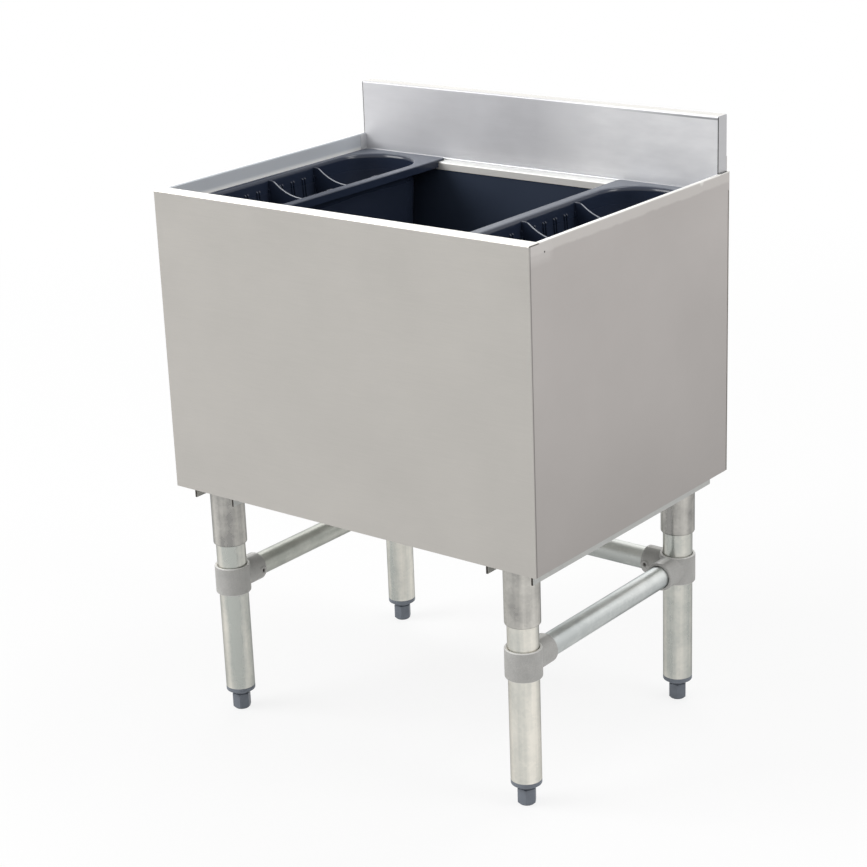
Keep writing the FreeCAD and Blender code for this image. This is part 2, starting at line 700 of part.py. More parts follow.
def leg_channel(side):
    """Folded channel under the cabinet that carries a front and a rear leg."""
    x = side * LEG_X
    low = BODY_BOTTOM - CHANNEL_HEIGHT
    end = HALF_D - CHANNEL_INSET
    channel = folded_along_y([
        (x + CHANNEL_WIDTH / 2, low),
        (x + CHANNEL_WIDTH / 2, BODY_BOTTOM),
        (x - CHANNEL_WIDTH / 2, BODY_BOTTOM),
        (x - CHANNEL_WIDTH / 2, low),
    ], -end, end, CHANNEL_SHEET)
    holes = [rod(STUD_RADIUS + STUD_FIT, Vec(sx, sy, CHANNEL_SOFFIT), Vec(sx, sy, BODY_BOTTOM))
             for sx, sy in stud_places(side)]
    return channel.cut(holes)


def channel_studs():
    """Weld studs under the floor pan that the channels hang on."""
    studs = []
    for x, y in stud_places(-1) + stud_places(1):
        studs.append(rod(STUD_RADIUS, Vec(x, y, BODY_BOTTOM - STUD_LENGTH), Vec(x, y, BODY_BOTTOM)))
    return Part.makeCompound(studs)


def channel_nuts():
    """Hexagonal nuts that hold the channels up on their studs."""
    nuts = []
    low = CHANNEL_SOFFIT - NUT_HEIGHT
    for x, y in stud_places(-1) + stud_places(1):
        hole = rod(STUD_RADIUS + STUD_FIT, Vec(x, y, low), Vec(x, y, CHANNEL_SOFFIT))
        nuts.append(hexagon(NUT_FLATS, x, y, low, CHANNEL_SOFFIT).cut(hole))
    return Part.makeCompound(nuts)


def leg_place(side, end):
    """Plan position of a leg."""
    return side * LEG_X, end * LEG_Y


def leg_socket(x, y):
    """Sleeve welded to a square plate under the channel; the leg tube plugs into it."""
    outer = LEG_SEAT + SOCKET_WALL
    half = outer + SOCKET_PLATE_MARGIN
    low = Vec(x, y, SOCKET_BOTTOM)
    high = Vec(x, y, PLATE_UNDER)
    sleeve = rod(outer, low, high)
    sleeve = sleeve.makeFillet(SOCKET_EDGE, level_edges(sleeve, SOCKET_BOTTOM))
    plate = block((x - half, y - half, PLATE_UNDER), (x + half, y + half, CHANNEL_SOFFIT))
    return sleeve.cut(rod(LEG_SEAT, low, high)).fuse(plate).removeSplitter()


def leg_tube(x, y):
    """Galvanised leg that stands against the socket plate."""
    return pipe(LEG_RADIUS, LEG_RADIUS - LEG_WALL, Vec(x, y, LEG_BOTTOM), Vec(x, y, PLATE_UNDER))


def foot_insert(x, y):
    """Plastic bush in the end of a leg: plug, collar, cone and a hole for the foot's stem."""
    plug = LEG_RADIUS - LEG_WALL - INSERT_FIT
    hole = STEM_RADIUS + STEM_FIT
    collar = LEG_BOTTOM - INSERT_COLLAR
    cone = collar - INSERT_CONE
    return turned([
        (hole, LEG_BOTTOM + INSERT_PLUG),
        (plug, LEG_BOTTOM + INSERT_PLUG),
        (plug, LEG_BOTTOM),
        (LEG_RADIUS, LEG_BOTTOM),
        (LEG_RADIUS, collar),
        (FOOT_FLATS / 2, cone),
        (hole, cone),
    ], x, y)


def levelling_foot(x, y):
    """Hexagonal screw foot with a chamfered base, a waisted neck and a long stem."""
    corner = FOOT_FLATS / math.sqrt(3)
    shoulder = FOOT_HEIGHT - FOOT_NECK
    envelope = turned([
        (0, 0),
        (corner - FOOT_CHAMFER, 0),
        (corner, FOOT_CHAMFER),
        (corner, shoulder - FOOT_SHOULDER),
        (FOOT_NECK_RADIUS, shoulder),
        (FOOT_NECK_RADIUS, FOOT_HEIGHT),
        (0, FOOT_HEIGHT),
    ], x, y)
    foot = hexagon(FOOT_FLATS, x, y, 0, FOOT_HEIGHT).common(envelope)
    stem = rod(STEM_RADIUS, Vec(x, y, FOOT_HEIGHT), Vec(x, y, FOOT_HEIGHT + STEM_LENGTH))
    return foot.fuse(stem).removeSplitter()


def brace_ways(side, end):
    """Directions in which a leg's fitting holds rails: along the side, and along the back."""
    along_side = Vec(0, -end, 0)
    return [along_side, Vec(-side, 0, 0)] if end > 0 else [along_side]


def brace_screws(side, end):
    """Start point on the rail's axis and direction of each set screw in a leg's fitting."""
    x, y = leg_place(side, end)
    reach = ARM_REACH - SCREW_FROM_MOUTH
    screws = []
    for way in brace_ways(side, end):
        facing = Vec(-side, 0, 0) if abs(way.y) > 0 else Vec(0, -end, 0)
        screws.append((Vec(x, y, BRACE_HEIGHT) + way * reach, facing))
    return screws


def brace_fitting(side, end):
    """Cast fitting: clamp ring on the leg, rail sockets and raised set-screw pads."""
    x, y = leg_place(side, end)
    centre = Vec(x, y, BRACE_HEIGHT)
    low = centre - UP * (RING_HEIGHT / 2)
    high = centre + UP * (RING_HEIGHT / 2)
    ring = rod(RING_RADIUS, low, high)
    body = ring.makeFillet(RING_EDGE, level_edges(ring, low.z) + level_edges(ring, high.z))
    bores = [rod(LEG_SEAT, low, high)]
    for way in brace_ways(side, end):
        mouth = centre + way * ARM_REACH
        arm = rod(ARM_RADIUS, centre, mouth)
        rim = edges_where(arm, lambda p: (p - centre).dot(way) > ARM_REACH - NEAR)
        body = body.fuse(arm.makeFillet(ARM_EDGE, rim))
        bores.append(rod(RAIL_SEAT, centre + way * RING_RADIUS, mouth))
    for start, facing in brace_screws(side, end):
        body = body.fuse(rod(PAD_RADIUS, start, start + facing * PAD_FACE))
        bores.append(rod(SCREW_RADIUS + SCREW_FIT, start, start + facing * PAD_FACE))
    return body.cut(bores).removeSplitter()


def fitting_set_screws():
    """Grub screws that bear on the rails inside the fittings."""
    screws = []
    for side, end in LEGS.values():
        for start, facing in brace_screws(side, end):
            tip = start + facing * RAIL_RADIUS
            screws.append(rod(SCREW_RADIUS, tip, start + facing * (PAD_FACE - SCREW_RECESS)))
    return Part.makeCompound(screws)


def side_rail(side):
    """Tube brace between the front and rear leg of one side."""
    front = Vec(side * LEG_X, -LEG_Y + RING_RADIUS, BRACE_HEIGHT)
    rear = Vec(side * LEG_X, LEG_Y - RING_RADIUS, BRACE_HEIGHT)
    return pipe(RAIL_RADIUS, RAIL_RADIUS - RAIL_WALL, front, rear)


def rear_rail():
    """Tube brace between the two rear legs."""
    left = Vec(-LEG_X + RING_RADIUS, LEG_Y, BRACE_HEIGHT)
    right = Vec(LEG_X - RING_RADIUS, LEG_Y, BRACE_HEIGHT)
    return pipe(RAIL_RADIUS, RAIL_RADIUS - RAIL_WALL, left, right)


def all_pieces():
    """Every piece of the bin by its name."""
    trough = bottle_trough()
    side = right_side_panel()
    pieces = {
        "front_panel": front_panel(),
        "left_side_panel": mirrored_x(side),
        "right_side_panel": side,
        "back_panel": back_panel(),
        "bottom_pan": bottom_pan(),
        "top_deck": top_deck(),
        "backsplash": backsplash(),
        "backsplash_left_end_cap": splash_end_cap(-1),
        "backsplash_right_end_cap": splash_end_cap(1),
        "ice_liner": ice_liner(),
        "foam_insulation": foam_insulation(),
        "drain_body": drain_body(),
        "drain_strainer": drain_strainer(),
        "drain_gasket": drain_gasket(),
        "drain_locknut": drain_locknut(),
        "drain_tailpiece": drain_tailpiece(),
        "left_bottle_trough": trough,
        "right_bottle_trough": half_turn(trough),
        "left_leg_channel": leg_channel(-1),
        "right_leg_channel": leg_channel(1),
        "channel_studs": channel_studs(),
        "channel_nuts": channel_nuts(),
        "left_side_rail": side_rail(-1),
        "right_side_rail": side_rail(1),
        "rear_rail": rear_rail(),
        "fitting_set_screws": fitting_set_screws(),
    }
    for place, left_slot, right_slot in zip(("front", "rear"), LEFT_DIVIDER_SLOTS, RIGHT_DIVIDER_SLOTS):
        pieces["left_trough_%s_divider" % place] = trough_divider(left_slot)
        pieces["right_trough_%s_divider" % place] = half_turn(trough_divider(-right_slot))
    for name, (side_sign, end_sign) in LEGS.items():
        x, y = leg_place(side_sign, end_sign)
        pieces[name + "_leg_socket"] = leg_socket(x, y)
        pieces[name + "_leg_tube"] = leg_tube(x, y)
        pieces[name + "_foot_insert"] = foot_insert(x, y)
        pieces[name + "_levelling_foot"] = levelling_foot(x, y)
        pieces[name + "_brace_fitting"] = brace_fitting(side_sign, end_sign)
    return pieces


os.makedirs("parts", exist_ok=True)
for piece_name, shape in all_pieces().items():
    shape.exportStep("parts/%s.step" % piece_name)
    print("%-28s solids %d valid %s volume %.1f" % (
        piece_name, len(shape.Solids), shape.isValid(), shape.Volume))
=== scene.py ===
import math
import bpy
from mathutils import Matrix, Vector


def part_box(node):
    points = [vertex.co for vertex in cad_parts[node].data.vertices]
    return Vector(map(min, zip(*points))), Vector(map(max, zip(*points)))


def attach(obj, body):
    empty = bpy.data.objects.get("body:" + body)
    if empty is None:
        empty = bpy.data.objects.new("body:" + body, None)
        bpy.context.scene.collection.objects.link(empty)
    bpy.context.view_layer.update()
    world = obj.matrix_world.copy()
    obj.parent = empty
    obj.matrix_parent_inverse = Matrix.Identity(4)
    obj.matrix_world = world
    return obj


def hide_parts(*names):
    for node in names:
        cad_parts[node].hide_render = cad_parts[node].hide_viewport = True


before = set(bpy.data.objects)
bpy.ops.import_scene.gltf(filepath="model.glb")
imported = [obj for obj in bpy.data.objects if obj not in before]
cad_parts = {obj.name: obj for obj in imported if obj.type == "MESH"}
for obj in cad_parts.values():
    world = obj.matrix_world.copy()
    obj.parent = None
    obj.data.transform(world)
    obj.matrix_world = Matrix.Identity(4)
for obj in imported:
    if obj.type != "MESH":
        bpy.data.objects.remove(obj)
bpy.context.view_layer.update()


# Floor pan and leg channels: zinc-coated sheet, folded on a press. The pan closes the cabinet
# from below, and the two channels under it carry the legs. The channels' sawn ends are painted
# near black: bare steel, darkened further as painted shade.
def paint(red, green, blue):
    """A colour as it looks on a screen, 0 to 255, in the linear numbers that a shader takes."""
    shares = [value / 255 for value in (red, green, blue)]
    return tuple(share / 12.92 if share < 0.04045 else ((share + 0.055) / 1.055) ** 2.4 for share in shares)


def new_finish(name, metallic, specular=0.5):
    """An empty material with the numbers that are the same all over set on its shader."""
    finish = bpy.data.materials.new(name)
    finish.use_nodes = True
    shader = finish.node_tree.nodes["Principled BSDF"]
    shader.inputs["Metallic"].default_value = metallic
    shader.inputs["Specular IOR Level"].default_value = specular
    return finish


def join_up(finish, output, node, socket):
    """One link of a material."""
    finish.node_tree.links.new(output, node.inputs[socket])


def to_shader(finish, output, socket):
    """A link into the material's shader."""
    join_up(finish, output, finish.node_tree.nodes["Principled BSDF"], socket)


def own_place(finish, stretch=(1, 1, 1)):
    """The piece's own coordinates in metres, squeezed along the axes by stretch."""
    nodes = finish.node_tree.nodes
    mapping = nodes.new("ShaderNodeMapping")
    mapping.inputs["Scale"].default_value = stretch
    join_up(finish, nodes.new("ShaderNodeTexCoord").outputs["Object"], mapping, "Vector")
    return mapping.outputs["Vector"]


def along(finish, axis):
    """One coordinate of the piece's own place, in metres."""
    split = finish.node_tree.nodes.new("ShaderNodeSeparateXYZ")
    join_up(finish, own_place(finish), split, "Vector")
    return split.outputs[axis]


def cloud(finish, scale, stretch=(1, 1, 1), detail=3.0):
    """Soft noise, scale cycles to the metre, drawn out along the axes with a small stretch."""
    noise = finish.node_tree.nodes.new("ShaderNodeTexNoise")
    noise.inputs["Scale"].default_value = scale
    noise.inputs["Detail"].default_value = detail
    join_up(finish, own_place(finish, stretch), noise, "Vector")
    return noise.outputs[0]


def cells(finish, scale):
    """A grey for each crystal-like cell, scale cells to the metre."""
    voronoi = finish.node_tree.nodes.new("ShaderNodeTexVoronoi")
    voronoi.inputs["Scale"].default_value = scale
    join_up(finish, own_place(finish), voronoi, "Vector")
    return voronoi.outputs["Color"]


def level(finish, factor, low, high, start=0.3, end=0.7):
    """A number that goes from low to high while a factor goes from start to end."""
    ramp = finish.node_tree.nodes.new("ShaderNodeMapRange")
    for socket, value in (("From Min", start), ("From Max", end), ("To Min", low), ("To Max", high)):
        ramp.inputs[socket].default_value = value
    join_up(finish, factor, ramp, "Value")
    return ramp.outputs["Result"]


MIX_FACTOR = 0
MIX_COLOURS = (6, 7)
MIXED_COLOUR = 2


def mixed(finish, factor, first, second):
    """Two colours mixed by a factor. Each colour is an output or its linear numbers."""
    mix = finish.node_tree.nodes.new("ShaderNodeMix")
    mix.data_type = "RGBA"
    join_up(finish, factor, mix, MIX_FACTOR)
    for socket, colour in zip(MIX_COLOURS, (first, second)):
        if isinstance(colour, tuple):
            mix.inputs[socket].default_value = (*colour, 1.0)
        else:
            join_up(finish, colour, mix, socket)
    return mix.outputs[MIXED_COLOUR]


def sums(finish, kind, first, second=0.0):
    """One sum of two numbers. Each is a number or an output."""
    node = finish.node_tree.nodes.new("ShaderNodeMath")
    node.operation = kind
    for socket, value in enumerate((first, second)):
        if isinstance(value, (int, float)):
            node.inputs[socket].default_value = value
        else:
            join_up(finish, value, node, socket)
    return node.outputs[0]


def relief(finish, height, depth, strength):
    """Fine relief on the surface from a height pattern, depth in metres."""
    bump = finish.node_tree.nodes.new("ShaderNodeBump")
    bump.inputs["Strength"].default_value = strength
    bump.inputs["Distance"].default_value = depth
    join_up(finish, height, bump, "Height")
    to_shader(finish, bump.outputs["Normal"], "Normal")


def put_on(finish, *nodes):
    """A finish on CAD nodes, in their own material slots."""
    for node in nodes:
        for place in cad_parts[node].material_slots:
            place.material = finish


SPANGLES = 90.0
ZINC_GLOSS = (0.34, 0.5)
ZINC_DIMPLES = 240.0
ZINC_RELIEF = (0.0002, 0.2)
ZINC_DULL = paint(178, 179, 177)
ZINC_BRIGHT = paint(194, 195, 192)
BARE_END_AND_SHADE = paint(62, 58, 54)
CUT_EDGE = 0.0005


def zinc_coated(name):
    """Zinc-coated sheet: a tone for each crystal of the coat. Gives the finish and its colour."""
    finish = new_finish(name, metallic=0.85)
    spangle = cells(finish, SPANGLES)
    to_shader(finish, level(finish, spangle, *ZINC_GLOSS), "Roughness")
    relief(finish, cloud(finish, ZINC_DIMPLES), *ZINC_RELIEF)
    return finish, mixed(finish, spangle, ZINC_DULL, ZINC_BRIGHT)


pan_zinc, pan_colour = zinc_coated("pan_zinc")
to_shader(pan_zinc, pan_colour, "Base Color")
put_on(pan_zinc, "bottom_pan")
channel_zinc, channel_colour = zinc_coated("channel_zinc")
channel_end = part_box("left_leg_channel")[1].y
from_channel_middle = sums(channel_zinc, "ABSOLUTE", along(channel_zinc, "Y"))
# The sawn ends are painted near black: partly bare steel, partly painted shade.
sawn_end_and_shade = level(channel_zinc, from_channel_middle, 0.0, 1.0, channel_end - CUT_EDGE, channel_end - CUT_EDGE / 2)
to_shader(channel_zinc, mixed(channel_zinc, sawn_end_and_shade, channel_colour, BARE_END_AND_SHADE), "Base Color")
put_on(channel_zinc, "left_leg_channel", "right_leg_channel")

# Weld studs and nuts: zinc-plated steel. The studs are rolled with a thread and welded to the
# pan, and the nuts hold the channels up on them.
STUD_RADIUS = 0.004
STUD_THREAD = 0.00045
STUD_THREAD_PITCH = 0.00125
NUT_EDGE = 0.0006
THREAD_CORNERS = 4
THREAD_STEPS = 18
WELDED_GAP = 0.00002
FLAT_ANGLE = math.radians(0.5)
SHARP_ANGLE = math.radians(35)
PLATED_PATCHES = 300.0
PLATED_GLOSS = (0.25, 0.42)
PLATED_DULL = paint(168, 166, 150)
PLATED_BRIGHT = paint(206, 204, 190)


def only(piece):
    """The piece as the one selected and active object."""
    bpy.ops.object.select_all(action="DESELECT")
    piece.select_set(True)
    bpy.context.view_layer.objects.active = piece


def apply_all(piece):
    """Applies the piece's modifiers from the top."""
    only(piece)
    for modifier in list(piece.modifiers):
        bpy.ops.object.modifier_apply(modifier=modifier.name)


def merged_copy(node, name):
    """A copy of a CAD node with its loose triangles joined at their corners."""
    piece = bpy.data.objects.new(name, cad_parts[node].data.copy())
    bpy.context.scene.collection.objects.link(piece)
    only(piece)
    bpy.ops.mesh.customdata_custom_splitnormals_clear()
    bpy.ops.object.mode_set(mode="EDIT")
    bpy.ops.mesh.select_all(action="SELECT")
    bpy.ops.mesh.remove_doubles(threshold=WELDED_GAP)
    bpy.ops.object.mode_set(mode="OBJECT")
    return piece


def round_edges(piece, width, steps):
    """A rounding of the given width on the piece's sharp edges."""
    rounding = piece.modifiers.new("rounding", "BEVEL")
    rounding.width = width
    rounding.segments = steps
    rounding.limit_method = "ANGLE"
    rounding.angle_limit = SHARP_ANGLE
    apply_all(piece)
    bpy.ops.object.shade_smooth_by_angle(angle=SHARP_ANGLE)


def softened(node, name, edge):
    """A copy of a CAD node with whole faces and rounded edges."""
    piece = merged_copy(node, name)
    bpy.ops.object.mode_set(mode="EDIT")
    bpy.ops.mesh.select_all(action="SELECT")
    bpy.ops.mesh.dissolve_limited(angle_limit=FLAT_ANGLE)
    bpy.ops.object.mode_set(mode="OBJECT")
    round_edges(piece, edge, steps=3)
    return piece


def screw_thread(radius, rise, pitch, length):
    """The ridge of a screw thread, wound upwards from the origin and closed at its ends."""
    bpy.ops.object.select_all(action="DESELECT")
    bpy.ops.mesh.primitive_circle_add(vertices=THREAD_CORNERS, radius=rise, location=(radius, 0, 0),
                                      rotation=(math.pi / 2, 0, 0))
    bpy.ops.object.transform_apply(location=True, rotation=True, scale=True)
    ridge = bpy.context.object
    winding = ridge.modifiers.new("winding", "SCREW")
    winding.screw_offset = pitch
    winding.iterations = round(length / pitch)
    winding.steps = THREAD_STEPS
    winding.render_steps = THREAD_STEPS
    apply_all(ridge)
    bpy.ops.object.mode_set(mode="EDIT")
    bpy.ops.mesh.select_all(action="SELECT")
    bpy.ops.mesh.fill_holes(sides=THREAD_CORNERS)
    bpy.ops.mesh.normals_make_consistent(inside=False)
    bpy.ops.object.mode_set(mode="OBJECT")
    return ridge


def copied(piece, place):
    """A copy of a piece, with a mesh of its own that is put in its place by a matrix."""
    copy = piece.copy()
    copy.data = piece.data.copy()
    bpy.context.scene.collection.objects.link(copy)
    copy.matrix_world = place
    only(copy)
    bpy.ops.object.transform_apply(location=True, rotation=True, scale=True)
    return copy


def joined(pieces, name):
    """The pieces as one mesh, under a name."""
    only(pieces[0])
    for piece in pieces:
        piece.select_set(True)
    bpy.ops.object.join()
    pieces[0].name = name
    return pieces[0]


def fit(piece, finish, body, slot, *nodes):
    """A finished piece in its finish and on its body, in place of the nodes that it stands for."""
    piece.data.materials.clear()
    piece.data.materials.append(finish)
    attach(piece, body)
    if nodes:
        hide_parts(*nodes)


zinc_plated = new_finish("zinc_plated", metallic=1.0)
plated_tone = cloud(zinc_plated, PLATED_PATCHES)
to_shader(zinc_plated, mixed(zinc_plated, plated_tone, PLATED_DULL, PLATED_BRIGHT), "Base Color")
to_shader(zinc_plated, level(zinc_plated, plated_tone, *PLATED_GLOSS), "Roughness")
studs_low, studs_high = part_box("channel_studs")
stud_x = studs_high.x - STUD_RADIUS
stud_y = studs_high.y - STUD_RADIUS
thread_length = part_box("channel_nuts")[0].z - studs_low.z
stud_thread = screw_thread(STUD_RADIUS - STUD_THREAD / 4, STUD_THREAD, STUD_THREAD_PITCH, thread_length)
threads = [copied(stud_thread, Matrix.Translation((x, y, studs_low.z)))
           for x in (-stud_x, stud_x) for y in (-stud_y, 0, stud_y)]
bpy.data.objects.remove(stud_thread)
plain_studs = softened("channel_studs", "threaded_weld_studs", STUD_THREAD)
studs = joined([plain_studs, *threads], "threaded_weld_studs")
fit(studs, zinc_plated, "cabinet", "zinc_fasteners", "channel_studs")
nuts = softened("channel_nuts", "chamfered_nuts", NUT_EDGE)
fit(nuts, zinc_plated, "cabinet", "zinc_fasteners", "channel_nuts")

# Leg sockets: heavy galvanised tube with its mouth rolled in, welded all round to a square plate
# under each channel. The leg plugs into it.
LEGS = ("front_left", "front_right", "rear_left", "rear_right")
PLATE_MARGIN = 0.002
PLATE_THICKNESS = 0.003
BEAD_RADIUS = 0.0018
BEAD_RIPPLES = 46
BEAD_STEPS = 3
BEAD_SIDES = 10
BEAD_RIPPLE = 0.0004
BEAD_STRAY = 0.0002
DRAWN_UP = (14, 14, 0.6)
BROAD_STREAKS = 3.0
BROAD_SHARE = 0.66
FINE_STREAKS = 16.0
FINE_SHARE = 0.1
ZINC_BLOOM = 34.0
BLOOM_SHARE = 0.2
ZINC_CRYSTALS = 260.0
CRYSTAL_SHARE = 0.04
ZINC_CONTRAST = (0.38, 0.62)
COAT_RELIEF = (0.0004, 0.2)
ZINC_FLANK = (0.42, 0.44, 0.45)
SLEEVE_GLOSS = (0.24, 0.38)
SLEEVE_DULL = paint(146, 145, 142)
SLEEVE_BRIGHT = paint(218, 215, 208)


def blended(finish, first, first_share, second, second_share):
    """Two patterns added up, each by its share."""
    return sums(finish, "ADD", sums(finish, "MULTIPLY", first, first_share),
                sums(finish, "MULTIPLY", second, second_share))


def galvanised(name, dull, bright, drawn, gloss):
    """Galvanised tube: streaks drawn along it, a cloudy coat with crystals, and duller flanks."""
    finish = new_finish(name, metallic=1.0)
    finish.node_tree.nodes["Principled BSDF"].inputs["Specular Tint"].default_value = (*ZINC_FLANK, 1.0)
    broad = cloud(finish, BROAD_STREAKS, drawn, detail=1.0)
    fine = cloud(finish, FINE_STREAKS, drawn, detail=2.0)
    bloom = cloud(finish, ZINC_BLOOM, detail=5.0)
    crystals = cells(finish, ZINC_CRYSTALS)
    streaks = blended(finish, broad, BROAD_SHARE, fine, FINE_SHARE)
    coat = blended(finish, bloom, BLOOM_SHARE, crystals, CRYSTAL_SHARE)
    tone = sums(finish, "ADD", streaks, coat)
    shade = level(finish, tone, 0.0, 1.0, *ZINC_CONTRAST)
    to_shader(finish, mixed(finish, shade, dull, bright), "Base Color")
    to_shader(finish, level(finish, tone, *gloss), "Roughness")
    relief(finish, coat, *COAT_RELIEF)
    return finish


sleeve_steel = galvanised("sleeve_steel", SLEEVE_DULL, SLEEVE_BRIGHT, DRAWN_UP, SLEEVE_GLOSS)
put_on(sleeve_steel, *[leg + "_leg_socket" for leg in LEGS])
beads = []
for order, leg in enumerate(LEGS):
    socket_low, socket_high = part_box(leg + "_leg_socket")
    middle = (socket_low + socket_high) / 2
    around = BEAD_STEPS * BEAD_RIPPLES
    bpy.ops.object.select_all(action="DESELECT")
    bpy.ops.mesh.primitive_torus_add(location=(middle.x, middle.y, socket_high.z - PLATE_THICKNESS),
                                     major_radius=(socket_high.x - socket_low.x) / 2 - PLATE_MARGIN,
                                     minor_radius=BEAD_RADIUS, major_segments=around,
                                     minor_segments=BEAD_SIDES)
    bpy.ops.object.transform_apply(location=True, rotation=True, scale=True)
    bead = bpy.context.object
    for point in bead.data.vertices:
        turn = math.atan2(point.co.y - middle.y, point.co.x - middle.x) / (2 * math.pi) + 0.5
        point.select = round(turn * around) % BEAD_STEPS == 0
    bpy.ops.object.mode_set(mode="EDIT")
    bpy.ops.mesh.select_mode(type="VERT")
    bpy.ops.transform.shrink_fatten(value=-BEAD_RIPPLE)
    bpy.ops.mesh.select_all(action="SELECT")
    bpy.ops.transform.vertex_random(offset=BEAD_STRAY, seed=order)
    bpy.ops.object.mode_set(mode="OBJECT")
    bpy.ops.object.shade_smooth()
    beads.append(bead)
fit(joined(beads, "leg_socket_welds"), sleeve_steel, "cabinet", "sleeve_steel")

# Legs and rails: galvanised steel tube, sawn to length. The legs stand in the sockets, and the
# rails brace them at half height. The rails are painted in shades of their own as painted light
# and shade: the right rail lighter, the left and rear rails darker and warmer.
DRAWN_ACROSS = (0.6, 14, 14)
DRAWN_BACK = (14, 0.6, 14)
LEG_GLOSS = (0.24, 0.4)
RAIL_GLOSS = (0.32, 0.46)
LEG_DULL = paint(180, 183, 178)
LEG_BRIGHT = paint(236, 232, 222)
RIGHT_RAIL_DULL = paint(194, 198, 197)
RIGHT_RAIL_BRIGHT = paint(244, 246, 243)
LEFT_RAIL_DULL = paint(172, 174, 167)
LEFT_RAIL_BRIGHT = paint(220, 220, 212)
REAR_RAIL_DULL = paint(174, 177, 174)
REAR_RAIL_BRIGHT = paint(226, 227, 222)
upright_tube = galvanised("upright_tube", LEG_DULL, LEG_BRIGHT, DRAWN_UP, LEG_GLOSS)
put_on(upright_tube, *[leg + "_leg_tube" for leg in LEGS])
# Painted light and shade: the right rail is painted lighter, the left and rear rails darker.
right_tube_painted_lit = galvanised("right_tube_painted_lit", RIGHT_RAIL_DULL, RIGHT_RAIL_BRIGHT, DRAWN_BACK, RAIL_GLOSS)
put_on(right_tube_painted_lit, "right_side_rail")
left_tube_painted_shade = galvanised("left_tube_painted_shade", LEFT_RAIL_DULL, LEFT_RAIL_BRIGHT, DRAWN_BACK, RAIL_GLOSS)
put_on(left_tube_painted_shade, "left_side_rail")
rear_tube_painted_shade = galvanised("rear_tube_painted_shade", REAR_RAIL_DULL, REAR_RAIL_BRIGHT, DRAWN_ACROSS, RAIL_GLOSS)
put_on(rear_tube_painted_shade, "rear_rail")

# Foot inserts and levelling feet: slate-grey moulded plastic. The insert is pressed into the
# leg's end, and the foot's threaded stem screws up into it.
FOOT_HEIGHT = 0.0246
SHOULDER_SLACK = 0.000265
STEM_RADIUS = 0.006
STEM_ROOT = 0.007
STEM_CORE = 0.0053
STEM_THREAD = 0.0009
STEM_THREAD_PITCH = 0.002
MOULDED_EDGE = 0.0007
SLATE_BLOOM = 55.0
SLATE_GRAIN = 900.0
SLATE_RELIEF = (0.0001, 0.25)
SLATE_GLOSS = (0.38, 0.52)
SLATE_DARK = paint(100, 106, 115)
SLATE_LIGHT = paint(116, 122, 131)
slate_plastic = new_finish("slate_plastic", metallic=0.0)
slate_tone = cloud(slate_plastic, SLATE_BLOOM, detail=6.0)
slate_colour = mixed(slate_plastic, level(slate_plastic, slate_tone, 0.0, 1.0), SLATE_DARK, SLATE_LIGHT)
to_shader(slate_plastic, slate_colour, "Base Color")
to_shader(slate_plastic, level(slate_plastic, slate_tone, *SLATE_GLOSS), "Roughness")
relief(slate_plastic, cloud(slate_plastic, SLATE_GRAIN), *SLATE_RELIEF)
foot_low, foot_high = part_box(LEGS[0] + "_levelling_foot")
shoulder = foot_low.z + FOOT_HEIGHT
thread_start = shoulder + STEM_THREAD_PITCH
stem_thread = screw_thread(STEM_CORE, STEM_THREAD, STEM_THREAD_PITCH,
                           foot_high.z - thread_start - 2 * STEM_THREAD_PITCH)
for leg in LEGS:
    bush = softened(leg + "_foot_insert", leg + "_foot_bush", MOULDED_EDGE)
    fit(bush, slate_plastic, "cabinet", "slate_plastic", leg + "_foot_insert")
    foot = softened(leg + "_levelling_foot", leg + "_threaded_foot", MOULDED_EDGE)
    foot_low, foot_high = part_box(leg + "_levelling_foot")
    axis = (foot_low + foot_high) / 2
    for point in foot.data.vertices:
        out = math.hypot(point.co.x - axis.x, point.co.y - axis.y)
        point.select = out < STEM_ROOT and point.co.z > shoulder - SHOULDER_SLACK
    narrower = STEM_CORE / STEM_RADIUS
    bpy.ops.object.mode_set(mode="EDIT")
    bpy.ops.mesh.select_mode(type="VERT")
    bpy.ops.transform.resize(value=(narrower, narrower, 1), center_override=axis)
    bpy.ops.object.mode_set(mode="OBJECT")
    thread = copied(stem_thread, Matrix.Translation((axis.x, axis.y, thread_start)))
    threaded_foot = joined([foot, thread], leg + "_threaded_foot")
    fit(threaded_foot, slate_plastic, leg + "_foot", "slate_plastic", leg + "_levelling_foot")
bpy.data.objects.remove(stem_thread)

# Brace fittings: sand-cast alloy, one ring on each leg with a socket for each rail. The casting
# is rounded wherever two tubes of it meet, and its ring has a painted highlight along its top and bottom
# edges.
CASTING_VOXEL = 0.0008
CASTING_ROUNDS = 2
HIGHLIGHT_EDGE = 0.0012
HIGHLIGHT_SHARE = 0.8
SAND_GRAIN = 800.0
SAND_RELIEF = (0.0004, 0.8)
SAND_PITS = (0.0, 0.5, 0.35, 0.75)  # low, high, start and end, as level takes them
CAST_PATCHES = 60.0
CAST_GLOSS = (0.5, 0.64)
CAST_DARK = paint(172, 171, 168)
CAST_LIGHT = paint(186, 185, 182)
CAST_PITS = paint(148, 147, 145)
CAST_HIGHLIGHT = paint(222, 221, 218)
cast_alloy = new_finish("cast_alloy", metallic=0.25, specular=0.4)
sand = cloud(cast_alloy, SAND_GRAIN, detail=2.0)
cast_tone = cloud(cast_alloy, CAST_PATCHES, detail=6.0)
cast_colour = mixed(cast_alloy, level(cast_alloy, cast_tone, 0.0, 1.0), CAST_DARK, CAST_LIGHT)
cast_colour = mixed(cast_alloy, level(cast_alloy, sand, *SAND_PITS), cast_colour, CAST_PITS)
ring_low, ring_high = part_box("front_left_brace_fitting")
brace_height = (ring_low.z + ring_high.z) / 2
ring_half = (ring_high.z - ring_low.z) / 2
above_brace = sums(cast_alloy, "SUBTRACT", along(cast_alloy, "Z"), brace_height)
from_brace = sums(cast_alloy, "ABSOLUTE", above_brace)
